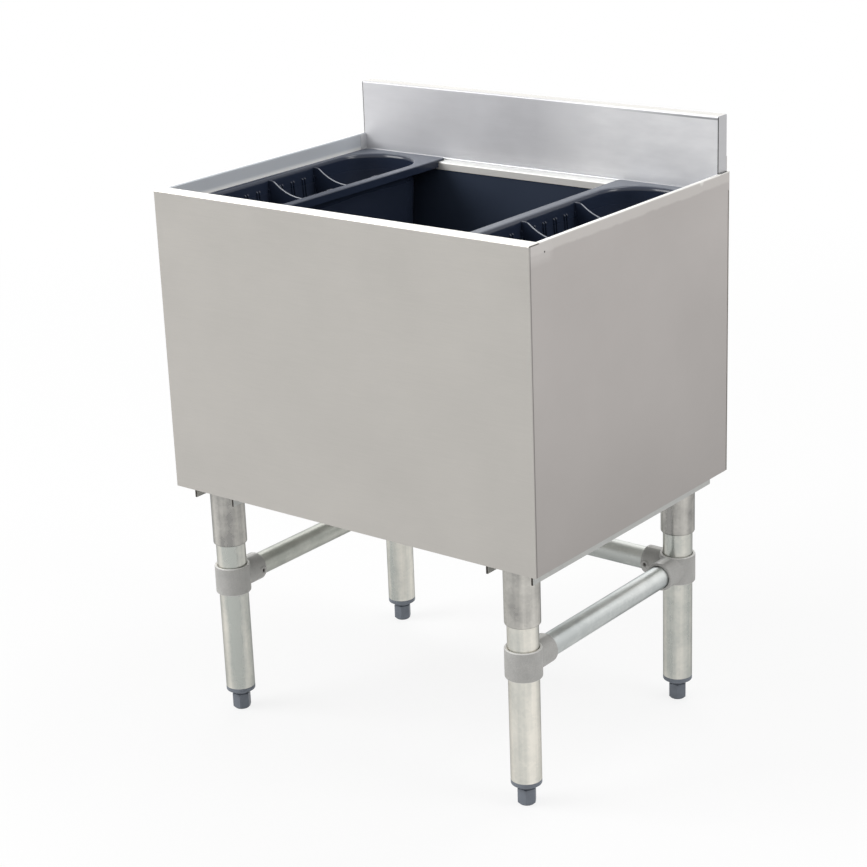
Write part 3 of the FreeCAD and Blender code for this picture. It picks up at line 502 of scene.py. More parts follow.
# A painted highlight along the ring's top and bottom edges.
ring_highlight = level(cast_alloy, from_brace, 0.0, HIGHLIGHT_SHARE, ring_half - HIGHLIGHT_EDGE, ring_half - HIGHLIGHT_EDGE / 2)
to_shader(cast_alloy, mixed(cast_alloy, ring_highlight, cast_colour, CAST_HIGHLIGHT), "Base Color")
to_shader(cast_alloy, level(cast_alloy, cast_tone, *CAST_GLOSS), "Roughness")
relief(cast_alloy, sand, *SAND_RELIEF)
for leg in LEGS:
    casting = merged_copy(leg + "_brace_fitting", leg + "_brace_casting")
    skin = casting.modifiers.new("cast_skin", "REMESH")
    skin.mode = "VOXEL"
    skin.voxel_size = CASTING_VOXEL
    rounds = casting.modifiers.new("cast_rounds", "SMOOTH")
    rounds.factor = 0.5
    rounds.iterations = CASTING_ROUNDS
    apply_all(casting)
    bpy.ops.object.shade_smooth()
    fit(casting, cast_alloy, "cabinet", "cast_alloy", leg + "_brace_fitting")

# Set screws: blackened steel grub screws with a hexagon socket, turned in through the fittings'
# bosses until they bear on the rails.
SCREW_RADIUS = 0.0025
SCREW_LENGTH = 0.0052
SCREW_OUT = 0.021075
SCREW_FROM_LEG = 0.041
SCREW_EDGE = 0.0003
KEY_FLATS = 0.0025
KEY_DEPTH = 0.002
BLACKING_PATCHES = 500.0
BLACKING_GLOSS = (0.3, 0.45)
BLACKING_DARK = paint(84, 82, 80)
BLACKING_WORN = paint(120, 118, 114)
screw_steel = new_finish("screw_steel", metallic=1.0)
screw_tone = cloud(screw_steel, BLACKING_PATCHES)
to_shader(screw_steel, mixed(screw_steel, screw_tone, BLACKING_DARK, BLACKING_WORN), "Base Color")
to_shader(screw_steel, level(screw_steel, screw_tone, *BLACKING_GLOSS), "Roughness")
bpy.ops.object.select_all(action="DESELECT")
bpy.ops.mesh.primitive_cylinder_add(vertices=6, radius=KEY_FLATS / math.sqrt(3), depth=2 * KEY_DEPTH,
                                    location=(0, 0, 0))
key = bpy.context.object
bpy.ops.mesh.primitive_cylinder_add(vertices=36, radius=SCREW_RADIUS, depth=SCREW_LENGTH,
                                    location=(0, 0, -SCREW_LENGTH / 2))
bpy.ops.object.transform_apply(location=True, rotation=True, scale=True)
screw = bpy.context.object
socket = screw.modifiers.new("socket", "BOOLEAN")
socket.object = key
socket.solver = "EXACT"
round_edges(screw, SCREW_EDGE, steps=2)
bpy.data.objects.remove(key)
screws = []
for leg in LEGS:
    leg_low, leg_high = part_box(leg + "_leg_tube")
    axis = (leg_low + leg_high) / 2
    ring_middle = Vector((axis.x, axis.y, brace_height))
    inward = Vector((math.copysign(1, -axis.x), 0, 0))
    to_middle = Vector((0, math.copysign(1, -axis.y), 0))
    rails = [(to_middle, inward)]
    if leg.startswith("rear"):
        rails.append((inward, to_middle))
    for rail, facing in rails:
        head = ring_middle + rail * SCREW_FROM_LEG + facing * SCREW_OUT
        turn = facing.to_track_quat("Z", "Y").to_matrix().to_4x4()
        screws.append(copied(screw, Matrix.Translation(head) @ turn))
bpy.data.objects.remove(screw)
set_screws = joined(screws, "socket_set_screws")
fit(set_screws, screw_steel, "cabinet", "zinc_fasteners", "fitting_set_screws")

# Foam: two-part insulating foam, poured between the liner and the sheets, where it sets and
# glues them together. The assembled cabinet hides it all round.
FOAM_BUBBLES = 300.0
FOAM_PATCHES = 120.0
FOAM_GLOSS = (0.8, 0.95)
FOAM_DARK = paint(206, 186, 128)
FOAM_LIGHT = paint(228, 212, 160)
foam = new_finish("foam", metallic=0.0)
to_shader(foam, mixed(foam, cloud(foam, FOAM_BUBBLES), FOAM_DARK, FOAM_LIGHT), "Base Color")
to_shader(foam, level(foam, cloud(foam, FOAM_PATCHES), *FOAM_GLOSS), "Roughness")
put_on(foam, "foam_insulation")

# Ice liner: one black moulding hung under the deck, with leaning walls, round corners and a
# sump in the floor. Its skin has the faint grain of the mould.
MOULD_BLOOM = 7.0
MOULD_CONTRAST = (0.1, 0.9)
MOULD_GRAIN = 1400.0
MOULD_RELIEF = (0.00012, 0.3)
LINER_GLOSS = (0.44, 0.5)
LINER_SPECULAR = 0.12
LINER_DARK = paint(44, 52, 67)
LINER_LIGHT = paint(56, 65, 82)


def moulded_black(name, dark, light, gloss, specular):
    """Black moulded plastic. Gives the finish, its colour and its roughness."""
    finish = new_finish(name, metallic=0.0, specular=specular)
    bloom = cloud(finish, MOULD_BLOOM, detail=2.0)
    dullness = level(finish, bloom, *gloss, 0.0, 1.0)
    to_shader(finish, dullness, "Roughness")
    relief(finish, cloud(finish, MOULD_GRAIN, detail=1.0), *MOULD_RELIEF)
    colour = mixed(finish, level(finish, bloom, 0.0, 1.0, *MOULD_CONTRAST), dark, light)
    return finish, colour, dullness


black_liner, liner_colour, _ = moulded_black("black_liner", LINER_DARK, LINER_LIGHT, LINER_GLOSS,
                                             LINER_SPECULAR)
to_shader(black_liner, liner_colour, "Base Color")
put_on(black_liner, "ice_liner")

# Drain: a turned plastic body through the sump, with a rubber ring under its flange, and a
# locknut and a hose tail under the cabinet.
DRAIN_EDGES = {"drain_body": 0.0006, "drain_locknut": 0.0012, "drain_tailpiece": 0.0006}
DRAIN_PATCHES = 40.0
DRAIN_GLOSS = (0.36, 0.5)
DRAIN_DARK = paint(206, 206, 200)
DRAIN_LIGHT = paint(226, 226, 220)
RUBBER_PATCHES = 200.0
RUBBER_GLOSS = (0.7, 0.85)
RUBBER_DARK = paint(26, 26, 27)
RUBBER_LIGHT = paint(40, 40, 41)
drain_plastic = new_finish("drain_plastic", metallic=0.0)
drain_tone = cloud(drain_plastic, DRAIN_PATCHES, detail=5.0)
to_shader(drain_plastic, mixed(drain_plastic, drain_tone, DRAIN_DARK, DRAIN_LIGHT), "Base Color")
to_shader(drain_plastic, level(drain_plastic, drain_tone, *DRAIN_GLOSS), "Roughness")
for node, edge in DRAIN_EDGES.items():
    fit(softened(node, "turned_" + node, edge), drain_plastic, "cabinet", "drain_plastic", node)
gasket_rubber = new_finish("gasket_rubber", metallic=0.0)
rubber_tone = cloud(gasket_rubber, RUBBER_PATCHES)
to_shader(gasket_rubber, mixed(gasket_rubber, rubber_tone, RUBBER_DARK, RUBBER_LIGHT), "Base Color")
to_shader(gasket_rubber, level(gasket_rubber, rubber_tone, *RUBBER_GLOSS), "Roughness")
put_on(gasket_rubber, "drain_gasket")

# Deck: satin stainless sheet, sunk below the rim and folded down all round its opening. The liner
# hangs under it, and the troughs' brims rest on it.
GRAIN_X = (1, 90, 90)
BRUSH_STROKES = 8.0
STROKE_SHARE = 0.15
BRUSH_SCRATCHES = 36.0
SCRATCH_SHARE = 0.45
SATIN_MOTTLE = 11.0
MOTTLE_SHARE = 0.4
SATIN_DULLNESS = 0.9
SATIN_RELIEF = (0.00008, 0.4)
LIP_BEND = 0.002
DECK_METALLIC = 0.3
DECK_GLOSS = (0.42, 0.52)
DECK_STEEL = paint(250, 250, 247)
LIP_SHADE_STEEL = paint(228, 226, 222)


def stainless(name, grain, bright, gloss, metallic=1.0):
    """Satin stainless sheet: grain along one axis, soft mottling. Gives the finish and its colour."""
    finish = new_finish(name, metallic)
    brushed = cloud(finish, BRUSH_STROKES, grain, detail=2.0)
    scratches = cloud(finish, BRUSH_SCRATCHES, grain, detail=1.0)
    mottle = cloud(finish, SATIN_MOTTLE, detail=6.0)
    dull = tuple(SATIN_DULLNESS * value for value in bright)
    strokes = blended(finish, brushed, STROKE_SHARE, scratches, SCRATCH_SHARE)
    tone = sums(finish, "ADD", strokes, sums(finish, "MULTIPLY", mottle, MOTTLE_SHARE))
    to_shader(finish, level(finish, tone, *gloss), "Roughness")
    relief(finish, strokes, *SATIN_RELIEF)
    return finish, mixed(finish, level(finish, tone, 0.0, 1.0), dull, bright)


deck_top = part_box("top_deck")[1].z
satin_deck, deck_colour = stainless("satin_deck", GRAIN_X, DECK_STEEL, DECK_GLOSS, DECK_METALLIC)
# Painted light and shade: the deck's top is painted near white, its folded-down lip darker.
lip_painted_shade = level(satin_deck, along(satin_deck, "Z"), 1.0, 0.0, deck_top - LIP_BEND, deck_top - LIP_BEND / 2)
to_shader(satin_deck, mixed(satin_deck, lip_painted_shade, deck_colour, LIP_SHADE_STEEL), "Base Color")
put_on(satin_deck, "top_deck")

# Strainer: a round disc of the deck's satin stainless sheet, punched with small holes. It drops
# into the drain's mouth and keeps the ice back.
put_on(satin_deck, "drain_strainer")

# Front panel: one stainless sheet with a fine satin grain, folded on a press into the flat rim
# and down into the recess. The rim's top is painted lighter, a painted highlight.
RIM_HIGHLIGHT_BAND = 0.0012
PANEL_GLOSS = (0.38, 0.48)
PANEL_STEEL = paint(190, 187, 182)
RIM_HIGHLIGHT_STEEL = paint(228, 226, 221)
rim_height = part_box("front_panel")[1].z
satin_front, front_colour = stainless("satin_front", GRAIN_X, PANEL_STEEL, PANEL_GLOSS)
front_height = along(satin_front, "Z")
# A painted highlight: the rim's top is painted lighter.
rim_highlight = level(satin_front, front_height, 0.0, 1.0, rim_height - RIM_HIGHLIGHT_BAND, rim_height - RIM_HIGHLIGHT_BAND / 2)
to_shader(satin_front, mixed(satin_front, rim_highlight, front_colour, RIM_HIGHLIGHT_STEEL), "Base Color")
put_on(satin_front, "front_panel")

# Side panels: satin stainless sheet, hemmed into the recess at the top. Along the top the sheet
# is painted a paler band, the front corner is welded and ground, and a pin mark is left near it on the
# right.
GRAIN_Y = (90, 1, 90)
HEM_DEPTH = 0.006
HEM_EDGE = 0.001
HEM_FOLD = 0.0014
HEM_FOOT_HIGHLIGHT = (0.0036, 0.0081)
HEM_METALLIC = 0.25
HAZE_PATCHES = 3.2
HAZE_CONTRAST = (0.35, 0.65)
LOW_SHADE = 0.6
PALE_BAND = 0.0095
PALE_BAND_FADE = 0.003
PALE_BAND_SHARE = 0.6
EDGE_WAVES = 45.0
EDGE_STRAY = 0.006
GROUND_LENGTH = (0.0336, 0.048)
GROUND_HEIGHT = (0.0156, 0.026)
GROUND_SHARE = 0.5
SEAM_INSET = 0.0012
SEAM_WIDTH = 0.0012
SEAM_SHARE = 0.55
PIN_MARK = Vector((0.0, 0.0311, -0.0138))
PIN_MARK_RADIUS = 0.0016
WELD_MARK = Vector((0.0, 0.386, -0.001))
WELD_MARK_RADIUS = 0.006
SIDE_GLOSS = (0.36, 0.5)
SIDE_STEEL = paint(204, 199, 196)
HAZY_STEEL = paint(190, 185, 182)
LOW_SHADE_STEEL = paint(150, 146, 143)
PALE_BAND_STEEL = paint(214, 210, 206)
GROUND_STEEL = paint(210, 206, 203)
SEAM_SHADE_STEEL = paint(70, 68, 66)
PIN_DARK = paint(64, 62, 60)
WELD_BRIGHT = paint(224, 222, 218)
FOLD_HIGHLIGHT_STEEL = paint(234, 233, 229)
HEM_LIT_STEEL = paint(212, 216, 221)
HEM_FOOT_HIGHLIGHT_STEEL = paint(252, 252, 250)


def within(finish, value, low, high, soft):
    """A factor of 1 while a value is between two ends, with soft flanks."""
    return sums(finish, "MULTIPLY", level(finish, value, 0.0, 1.0, low - soft, low),
                level(finish, value, 1.0, 0.0, high, high + soft))


def reach(finish, spot):
    """The distance from a spot on the piece, in metres."""
    between = finish.node_tree.nodes.new("ShaderNodeVectorMath")
    between.operation = "DISTANCE"
    between.inputs[1].default_value = spot
    join_up(finish, own_place(finish), between, 0)
    return between.outputs["Value"]


def near(finish, spot, radius):
    """A factor of 1 close to a spot on the piece, nothing beyond a radius."""
    return level(finish, reach(finish, spot), 1.0, 0.0, radius / 2, radius)


def layered(finish, colour, *layers):
    """A colour under further ones, each laid on where its factor says."""
    for factor, layer in layers:
        colour = mixed(finish, factor, colour, layer)
    return colour


side_low, side_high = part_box("right_side_panel")
corner = Vector((side_high.x, side_low.y, rim_height))
band_low = rim_height - PALE_BAND
satin_side, side_colour = stainless("satin_side", GRAIN_Y, SIDE_STEEL, SIDE_GLOSS)
side_height = along(satin_side, "Z")
side_depth = along(satin_side, "Y")
side_out = sums(satin_side, "ABSOLUTE", along(satin_side, "X"))
side_haze = level(satin_side, cloud(satin_side, HAZE_PATCHES, detail=6.0), 0.0, 1.0, *HAZE_CONTRAST)
# Painted shade: the sheet is painted darker towards the bottom.
low_painted_shade = level(satin_side, side_height, LOW_SHADE, 0.0, side_low.z, side_high.z)
stray = sums(satin_side, "MULTIPLY", cloud(satin_side, EDGE_WAVES, detail=4.0), EDGE_STRAY)
stray_height = sums(satin_side, "ADD", side_height, stray)
stray_depth = sums(satin_side, "SUBTRACT", side_depth, stray)
# A paler band painted along the top of the sheet.
pale_band = level(satin_side, stray_height, 0.0, PALE_BAND_SHARE, band_low - PALE_BAND_FADE, band_low)
ground_back = level(satin_side, stray_depth, GROUND_SHARE, 0.0, *[corner.y + run for run in GROUND_LENGTH])
ground_low, ground_high = GROUND_HEIGHT
ground_down = level(satin_side, stray_height, 0.0, 1.0, corner.z - ground_high, corner.z - ground_low)
ground = sums(satin_side, "MULTIPLY", ground_back, ground_down)
# Painted shade: a dark line along the seam at the front corner.
seam_y = corner.y + SEAM_INSET
seam_shade = within(satin_side, side_depth, seam_y, seam_y + SEAM_WIDTH, SEAM_WIDTH / 4)
seam_shade = sums(satin_side, "MULTIPLY", seam_shade, SEAM_SHARE)
pin_mark = near(satin_side, corner + PIN_MARK, PIN_MARK_RADIUS)
weld_mark = near(satin_side, corner + WELD_MARK, WELD_MARK_RADIUS)
# A painted highlight along the top fold.
fold_highlight = level(satin_side, side_height, 0.0, 1.0, rim_height - HEM_FOLD, rim_height - HEM_FOLD / 2)
side_colour = layered(satin_side, side_colour, (side_haze, HAZY_STEEL), (low_painted_shade, LOW_SHADE_STEEL),
                      (pale_band, PALE_BAND_STEEL), (ground, GROUND_STEEL), (seam_shade, SEAM_SHADE_STEEL),
                      (pin_mark, PIN_DARK), (weld_mark, WELD_BRIGHT), (fold_highlight, FOLD_HIGHLIGHT_STEEL))
# The hem's inner face is painted lighter as painted light, and near white at its foot as a painted
# highlight.
hem_foot_highlight = level(satin_side, side_height, 1.0, 0.0, *[deck_top + rise for rise in HEM_FOOT_HIGHLIGHT])
hem_lit_colour = mixed(satin_side, hem_foot_highlight, HEM_LIT_STEEL, HEM_FOOT_HIGHLIGHT_STEEL)
outside = level(satin_side, side_out, 0.0, 1.0, corner.x - HEM_DEPTH + HEM_EDGE, corner.x - HEM_DEPTH / 2)
to_shader(satin_side, mixed(satin_side, outside, hem_lit_colour, side_colour), "Base Color")
to_shader(satin_side, level(satin_side, outside, HEM_METALLIC, 1.0, 0.0, 1.0), "Metallic")
put_on(satin_side, "left_side_panel", "right_side_panel")

# Back panel: one flat satin stainless sheet, cut with shoulders and glued to the foam. It closes
# the cabinet behind, and its narrower top laps behind the backsplash.
satin_back, back_colour = stainless("satin_back", GRAIN_X, PANEL_STEEL, PANEL_GLOSS)
to_shader(satin_back, back_colour, "Base Color")
put_on(satin_back, "back_panel")

# Backsplash: one satin stainless sheet, folded over at its top and closed by a plate that is welded
# in at each end. Its foot stands on the deck, and the back panel laps up behind it.
SPLASH_SHEET = 0.0015
SPLASH_METALLIC = 0.6
SPLASH_PATCHES = 8.0
SPLASH_PATCH_SHARE = 0.4
SPLASH_CONTRAST = (0.2, 0.8)
RIGHT_PAINTED_LIGHT = (0.0, 0.42, 0.01, 0.12)  # low, high, start and end, as level takes them
LOW_PAINTED_LIGHT = 0.14
SPECKLES = 90.0
SPECKLE_STRETCH = (0.3, 1, 1)
SPECKLE_SHARE = (0.15, 0.4)
FOLD_MARK_DROP = 0.0032
FOLD_MARK_WIDTH = 0.0016
FOLD_MARK_FADE = (0.0, 0.7, 0.12, 0.27)  # low, high, start and end, as level takes them
FOOT_SHADE_HEIGHT = 0.014
FOOT_SHADE_SHARE = 0.55
END_EDGE = (0.0003, 0.0006)
SPLASH_GLOSS = (0.46, 0.58)
TRIM_GLOSS = (0.4, 0.5)
SPLASH_STEEL = paint(206, 206, 209)
PALE_AND_LIT_STEEL = paint(252, 252, 253)
SPECKLE_STEEL = paint(216, 216, 219)
FOOT_SHADE_STEEL = paint(150, 152, 157)
FOLD_DARK = paint(120, 122, 127)
SPLASH_BACK = paint(196, 194, 190)
END_STEEL = paint(206, 206, 208)
END_DARK = paint(78, 78, 80)
splash_low, splash_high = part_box("backsplash")
satin_splash, splash_colour = stainless("satin_splash", GRAIN_X, SPLASH_STEEL, SPLASH_GLOSS, SPLASH_METALLIC)
splash_across = along(satin_splash, "X")
splash_height = along(satin_splash, "Z")
# Painted light: the sheet is painted lighter to the right and towards the bottom, on top of random paler
# patches.
right_painted_light = level(satin_splash, splash_across, *RIGHT_PAINTED_LIGHT)
low_painted_light = level(satin_splash, splash_height, LOW_PAINTED_LIGHT, 0.0, deck_top, splash_high.z)
patches = cloud(satin_splash, SPLASH_PATCHES, detail=4.0)
patches_and_painted_light = sums(satin_splash, "MULTIPLY", patches, SPLASH_PATCH_SHARE)
patches_and_painted_light = sums(satin_splash, "ADD", patches_and_painted_light, right_painted_light)
patches_and_painted_light = sums(satin_splash, "ADD", patches_and_painted_light, low_painted_light)
patches_and_painted_light = level(satin_splash, patches_and_painted_light, 0.0, 1.0, *SPLASH_CONTRAST)
speckle = level(satin_splash, cloud(satin_splash, SPECKLES, SPECKLE_STRETCH, detail=4.0), *SPECKLE_SHARE)
# Painted shade: the splash is painted darker just above the deck.
foot_painted_shade = level(satin_splash, splash_height, FOOT_SHADE_SHARE, 0.0, deck_top, deck_top + FOOT_SHADE_HEIGHT)
fold_top = splash_high.z - FOLD_MARK_DROP
fold_line = within(satin_splash, splash_height, fold_top - FOLD_MARK_WIDTH, fold_top, FOLD_MARK_WIDTH / 2)
fold_mark = sums(satin_splash, "MULTIPLY", fold_line, level(satin_splash, splash_across, *FOLD_MARK_FADE))
splash_colour = layered(satin_splash, splash_colour, (patches_and_painted_light, PALE_AND_LIT_STEEL), (speckle, SPECKLE_STEEL),
                        (foot_painted_shade, FOOT_SHADE_STEEL), (fold_mark, FOLD_DARK))
sheet_back = splash_low.y + SPLASH_SHEET
on_front = level(satin_splash, along(satin_splash, "Y"), 1.0, 0.0, sheet_back, sheet_back + SPLASH_SHEET)
to_shader(satin_splash, mixed(satin_splash, on_front, SPLASH_BACK, splash_colour), "Base Color")
to_shader(satin_splash, level(satin_splash, on_front, 1.0, SPLASH_METALLIC, 0.0, 1.0), "Metallic")
put_on(satin_splash, "backsplash")

splash_end, end_colour = stainless("splash_end", GRAIN_Y, END_STEEL, TRIM_GLOSS)
end_edge = level(splash_end, along(splash_end, "Y"), 1.0, 0.0, *[splash_low.y + depth for depth in END_EDGE])
to_shader(splash_end, mixed(splash_end, end_edge, end_colour, END_DARK), "Base Color")
put_on(splash_end, "backsplash_left_end_cap", "backsplash_right_end_cap")

# Corner ears: two small tabs of stainless sheet, folded forward from the backsplash at its lower
# corners and spot-welded to the side panels' hems.
EAR_LENGTH = 0.0125
EAR_THICKNESS = 0.001
EAR_CORNER = 0.004
EAR_METALLIC = 0.5
EAR_STEEL = paint(226, 227, 229)


def block(low, high):
    """A box between two corners, to be shaped further."""
    bpy.ops.object.select_all(action="DESELECT")
    bpy.ops.mesh.primitive_cube_add(size=1, location=(low + high) / 2, scale=high - low)
    bpy.ops.object.transform_apply(location=True, rotation=True, scale=True)
    return bpy.context.object


def round_front_top(piece, low, high, radius, steps):
    """Rounds the one edge of a box that lies at its front and top."""
    middle = (low + high) / 2
    for point in piece.data.vertices:
        point.select = point.co.y < middle.y and point.co.z > middle.z
    for edge in piece.data.edges:
        edge.select = all(piece.data.vertices[end].select for end in edge.vertices)
    for face in piece.data.polygons:
        face.select = False
    bpy.ops.object.mode_set(mode="EDIT")
    bpy.ops.mesh.select_mode(type="EDGE")
    bpy.ops.mesh.bevel(offset=radius, segments=steps)
    bpy.ops.object.mode_set(mode="OBJECT")


ear_steel, ear_colour = stainless("ear_steel", GRAIN_Y, EAR_STEEL, TRIM_GLOSS, EAR_METALLIC)
to_shader(ear_steel, ear_colour, "Base Color")
hem_face = corner.x - HEM_DEPTH
ear_low = Vector((hem_face - EAR_THICKNESS, splash_low.y - EAR_LENGTH, deck_top))
ear_high = Vector((hem_face, splash_low.y, rim_height - EAR_THICKNESS))
right_ear = block(ear_low, ear_high)
round_front_top(right_ear, ear_low, ear_high, EAR_CORNER, steps=6)
round_edges(right_ear, EAR_THICKNESS / 4, steps=2)
left_ear = copied(right_ear, Matrix.Translation((EAR_THICKNESS - 2 * hem_face, 0, 0)))
ears = joined([left_ear, right_ear], "backsplash_corner_ears")
fit(ears, ear_steel, "cabinet", "stainless_sheet")

# Foot seal: a stainless weld, run along the backsplash's foot and ground to a smooth round. It
# keeps water on the deck from getting behind.
SEAL_RISE = 0.0032
SEAL_REACH = 0.0024
SEAL_ROOT = 0.001
SEAL_END_GAP = 0.0015
SEAL_STEEL = paint(186, 187, 189)
seal_steel, seal_colour = stainless("seal_steel", GRAIN_X, SEAL_STEEL, TRIM_GLOSS)
to_shader(seal_steel, seal_colour, "Base Color")
seal_half = splash_high.x - SEAL_END_GAP
seal_low = Vector((-seal_half, splash_low.y - SEAL_REACH, deck_top))
seal_high = Vector((seal_half, splash_low.y + SEAL_ROOT, deck_top + SEAL_RISE))
seal = block(seal_low, seal_high)
seal.name = "backsplash_foot_seal"
round_front_top(seal, seal_low, seal_high, SEAL_REACH, steps=5)
bpy.ops.object.mode_set(mode="EDIT")
bpy.ops.mesh.select_all(action="SELECT")
bpy.ops.mesh.subdivide(number_cuts=1)
bpy.ops.object.mode_set(mode="OBJECT")
bpy.ops.object.shade_smooth_by_angle(angle=SHARP_ANGLE)
fit(seal, seal_steel, "cabinet", "stainless_sheet")

# Bottle troughs: black mouldings, one at each side, with a deep cup and a wide brim. They hang in
# the recess by the brim and lift out, and the brim's top is painted lighter: partly scuffing from
# use, partly a painted sheen, most on the right trough and towards the rear.
SIDES = ("left", "right")
SCUFFED_TOP = 0.0016
SCUFF_DULLNESS = 0.24
UNWORN_DULLNESS = 0.55
UNWORN = 0.1
WEAR_ACROSS = (-0.02, 0.02)
WEAR_BACK = (-0.04, 0.1)
CUP_DULLNESS = 0.2
CUP_SHOULDER = 0.036
TROUGH_SPECULAR = 0.5
TROUGH_GLOSS = (0.14, 0.24)
TROUGH_DARK = paint(34, 42, 58)
TROUGH_LIGHT = paint(42, 50, 68)
SCUFFED_AND_SHEEN_BLACK = paint(88, 94, 106)
black_moulding, trough_colour, trough_dullness = moulded_black("black_moulding", TROUGH_DARK, TROUGH_LIGHT,
                                                               TROUGH_GLOSS, TROUGH_SPECULAR)
trough_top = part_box("right_bottle_trough")[1].z
trough_height = along(black_moulding, "Z")
wear = sums(black_moulding, "MAXIMUM",
            level(black_moulding, along(black_moulding, "X"), 0.0, 1.0, *WEAR_ACROSS),
            level(black_moulding, along(black_moulding, "Y"), UNWORN, 1.0, *WEAR_BACK))
scuffed = level(black_moulding, trough_height, 0.0, 1.0, trough_top - SCUFFED_TOP, trough_top)
# The brim's top is painted lighter: partly scuffing, partly a painted sheen.
worn_top_and_sheen = sums(black_moulding, "MULTIPLY", scuffed, wear)
to_shader(black_moulding, mixed(black_moulding, worn_top_and_sheen, trough_colour, SCUFFED_AND_SHEEN_BLACK), "Base Color")
top_dullness = level(black_moulding, wear, UNWORN_DULLNESS, SCUFF_DULLNESS, UNWORN, 1.0)
dulled = sums(black_moulding, "MULTIPLY", scuffed, top_dullness)
cup_dulled = level(black_moulding, trough_height, CUP_DULLNESS, 0.0, trough_top - CUP_SHOULDER,
                   trough_top - CUP_SHOULDER / 3)
dulled = sums(black_moulding, "ADD", dulled, cup_dulled)
to_shader(black_moulding, sums(black_moulding, "ADD", trough_dullness, dulled), "Roughness")
put_on(black_moulding, *[side + "_bottle_trough" for side in SIDES])

# Divider plates: black moulded plates with a scoop in the top edge, which is painted pale along
# its crest as a painted highlight. They drop between pairs of ribs in the troughs, two to a trough.
ENDS = ("front", "rear")
SCOOP_DEPTH = 0.019
SCOOP_HALF = 0.0507
CREST = 0.0010
PLATE_GLOSS = (0.18, 0.28)
CREST_HIGHLIGHT_GREY = paint(146, 150, 158)
black_plate, plate_colour, _ = moulded_black("black_plate", TROUGH_DARK, TROUGH_LIGHT, PLATE_GLOSS,
                                             TROUGH_SPECULAR)
plate_low, plate_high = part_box("right_trough_front_divider")
scoop_radius = (SCOOP_HALF ** 2 + SCOOP_DEPTH ** 2) / (2 * SCOOP_DEPTH)
scoop_x = (plate_low.x + plate_high.x) / 2
scoop_z = plate_high.z - SCOOP_DEPTH + scoop_radius
plate_out = sums(black_plate, "ABSOLUTE", along(black_plate, "X"))
plate_x = sums(black_plate, "SUBTRACT", plate_out, scoop_x)
plate_z = sums(black_plate, "SUBTRACT", along(black_plate, "Z"), scoop_z)
square_x = sums(black_plate, "POWER", plate_x, 2.0)
square_z = sums(black_plate, "POWER", plate_z, 2.0)
from_scoop = sums(black_plate, "SQRT", sums(black_plate, "ADD", square_x, square_z))
# A painted highlight along the scoop's crest.
crest_highlight = level(black_plate, from_scoop, 1.0, 0.0, scoop_radius + CREST / 4, scoop_radius + CREST)
to_shader(black_plate, mixed(black_plate, crest_highlight, plate_colour, CREST_HIGHLIGHT_GREY), "Base Color")
put_on(black_plate, *[side + "_trough_" + end + "_divider" for side in SIDES for end in ENDS])

# Studio: a plain pale floor that fades to white, a white room and four soft square lamps round the
# bin, with the camera where the photograph was taken from.
FLOOR_SIZE = 60.0
FLOOR_GREY = (0.86, 0.86, 0.86, 1.0)
FLOOR_FADE = (0.82, 1.0, 0.5, 3.0)  # low, high, start and end, as level takes them
FLOOR_IN_METAL = 0.45
ROOM_LIGHT = 0.55
WHITE = (1.0, 1.0, 1.0, 1.0)
LAMPS = {
    "key_light": {"place": (-2.4, -2.2, 2.6), "aim": (0, 0, 0.4), "size": 2.2, "power": 90.0},
    "rear_light": {"place": (-2.1, 2.7, 1.7), "aim": (0, 0, 0.6), "size": 2.4, "power": 20.0},
    "top_light": {"place": (0.5, 0.9, 2.9), "aim": (0, 0, 0.7), "size": 0.8, "power": 12.0},
    "right_light": {"place": (2.7, 0.5, 2.5), "aim": (-0.2, 0, 0.7), "size": 1.3, "power": 26.0},
}
CAMERA_RIGHT = Vector((0.78985, 0.61222, -0.03649))
CAMERA_UP = Vector((-0.17411, 0.28089, 0.94381))
CAMERA_BACK = Vector((0.58807, -0.73912, 0.32845))
CAMERA_PLACE = Vector((1.71273, -2.18820, 1.37493))
CAMERA_LENS = 88.737
CAMERA_SENSOR = 36.0
CAMERA_REACH = 100.0


def shown_through(owner, factor, plain, shown, output):
    """The end of a material or world: one shader, and another where a factor says."""
    nodes = owner.node_tree.nodes
    mix = nodes.new("ShaderNodeMixShader")
    for socket, source in enumerate((factor, plain.outputs[0], shown.outputs[0])):
        join_up(owner, source, mix, socket)
    join_up(owner, mix.outputs[0], nodes.new(output), "Surface")


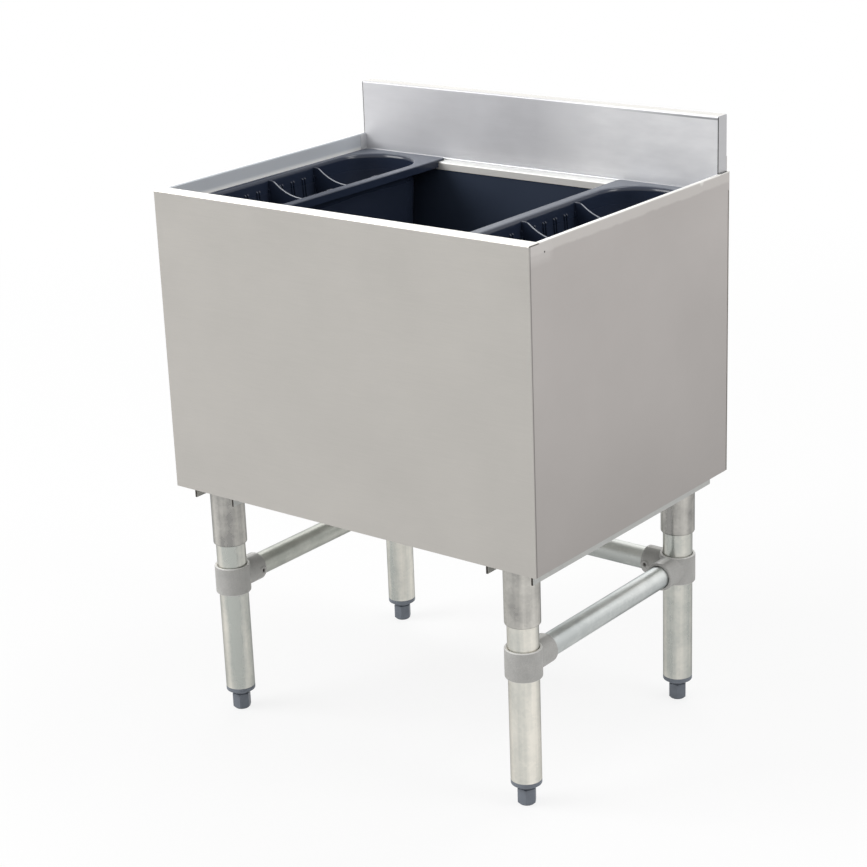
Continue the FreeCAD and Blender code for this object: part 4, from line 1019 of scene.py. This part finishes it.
bpy.ops.object.select_all(action="DESELECT")
bpy.ops.mesh.primitive_plane_add(size=FLOOR_SIZE, location=(0, 0, 0))
floor = bpy.context.object
floor.name = "studio_floor"
pale_floor = bpy.data.materials.new("pale_floor")
pale_floor.use_nodes = True
floor_nodes = pale_floor.node_tree.nodes
floor_nodes.clear()
lit = floor_nodes.new("ShaderNodeBsdfDiffuse")
lit.inputs["Color"].default_value = FLOOR_GREY
white = floor_nodes.new("ShaderNodeEmission")
white.inputs["Strength"].default_value = 1.0
floor_rays = floor_nodes.new("ShaderNodeLightPath").outputs
fade = level(pale_floor, reach(pale_floor, (0, 0, 0)), *FLOOR_FADE)
to_camera = sums(pale_floor, "MULTIPLY", floor_rays["Is Camera Ray"], fade)
to_metal = sums(pale_floor, "MULTIPLY", floor_rays["Is Glossy Ray"], FLOOR_IN_METAL)
floor_share = sums(pale_floor, "ADD", to_camera, to_metal)
shown_through(pale_floor, floor_share, lit, white, "ShaderNodeOutputMaterial")
floor.data.materials.append(pale_floor)

world = bpy.data.worlds.new("studio")
bpy.context.scene.world = world
world.use_nodes = True
air = world.node_tree.nodes
air.clear()
room_light = air.new("ShaderNodeBackground")
room_light.inputs["Color"].default_value = WHITE
room_light.inputs["Strength"].default_value = ROOM_LIGHT
room_seen = air.new("ShaderNodeBackground")
room_seen.inputs["Color"].default_value = WHITE
room_seen.inputs["Strength"].default_value = 1.0
room_rays = air.new("ShaderNodeLightPath").outputs
seen = sums(world, "MAXIMUM", room_rays["Is Camera Ray"], room_rays["Is Glossy Ray"])
seen = sums(world, "MAXIMUM", seen, room_rays["Is Transmission Ray"])
shown_through(world, seen, room_light, room_seen, "ShaderNodeOutputWorld")

for name, lamp in LAMPS.items():
    bpy.ops.object.light_add(type="AREA", location=lamp["place"])
    softbox = bpy.context.object
    softbox.name = name
    softbox.data.size = lamp["size"]
    softbox.data.energy = lamp["power"]
    softbox.visible_camera = False
    facing = Vector(lamp["place"]) - Vector(lamp["aim"])
    softbox.rotation_euler = facing.to_track_quat("Z", "Y").to_euler()

bpy.ops.object.camera_add()
camera = bpy.context.object
camera_turn = Matrix((CAMERA_RIGHT, CAMERA_UP, CAMERA_BACK)).transposed().to_4x4()
camera.matrix_world = Matrix.Translation(CAMERA_PLACE) @ camera_turn
camera.data.sensor_width = CAMERA_SENSOR
camera.data.lens = CAMERA_LENS
camera.data.clip_end = CAMERA_REACH
bpy.context.scene.camera = camera
bpy.context.scene.view_settings.view_transform = "Standard"
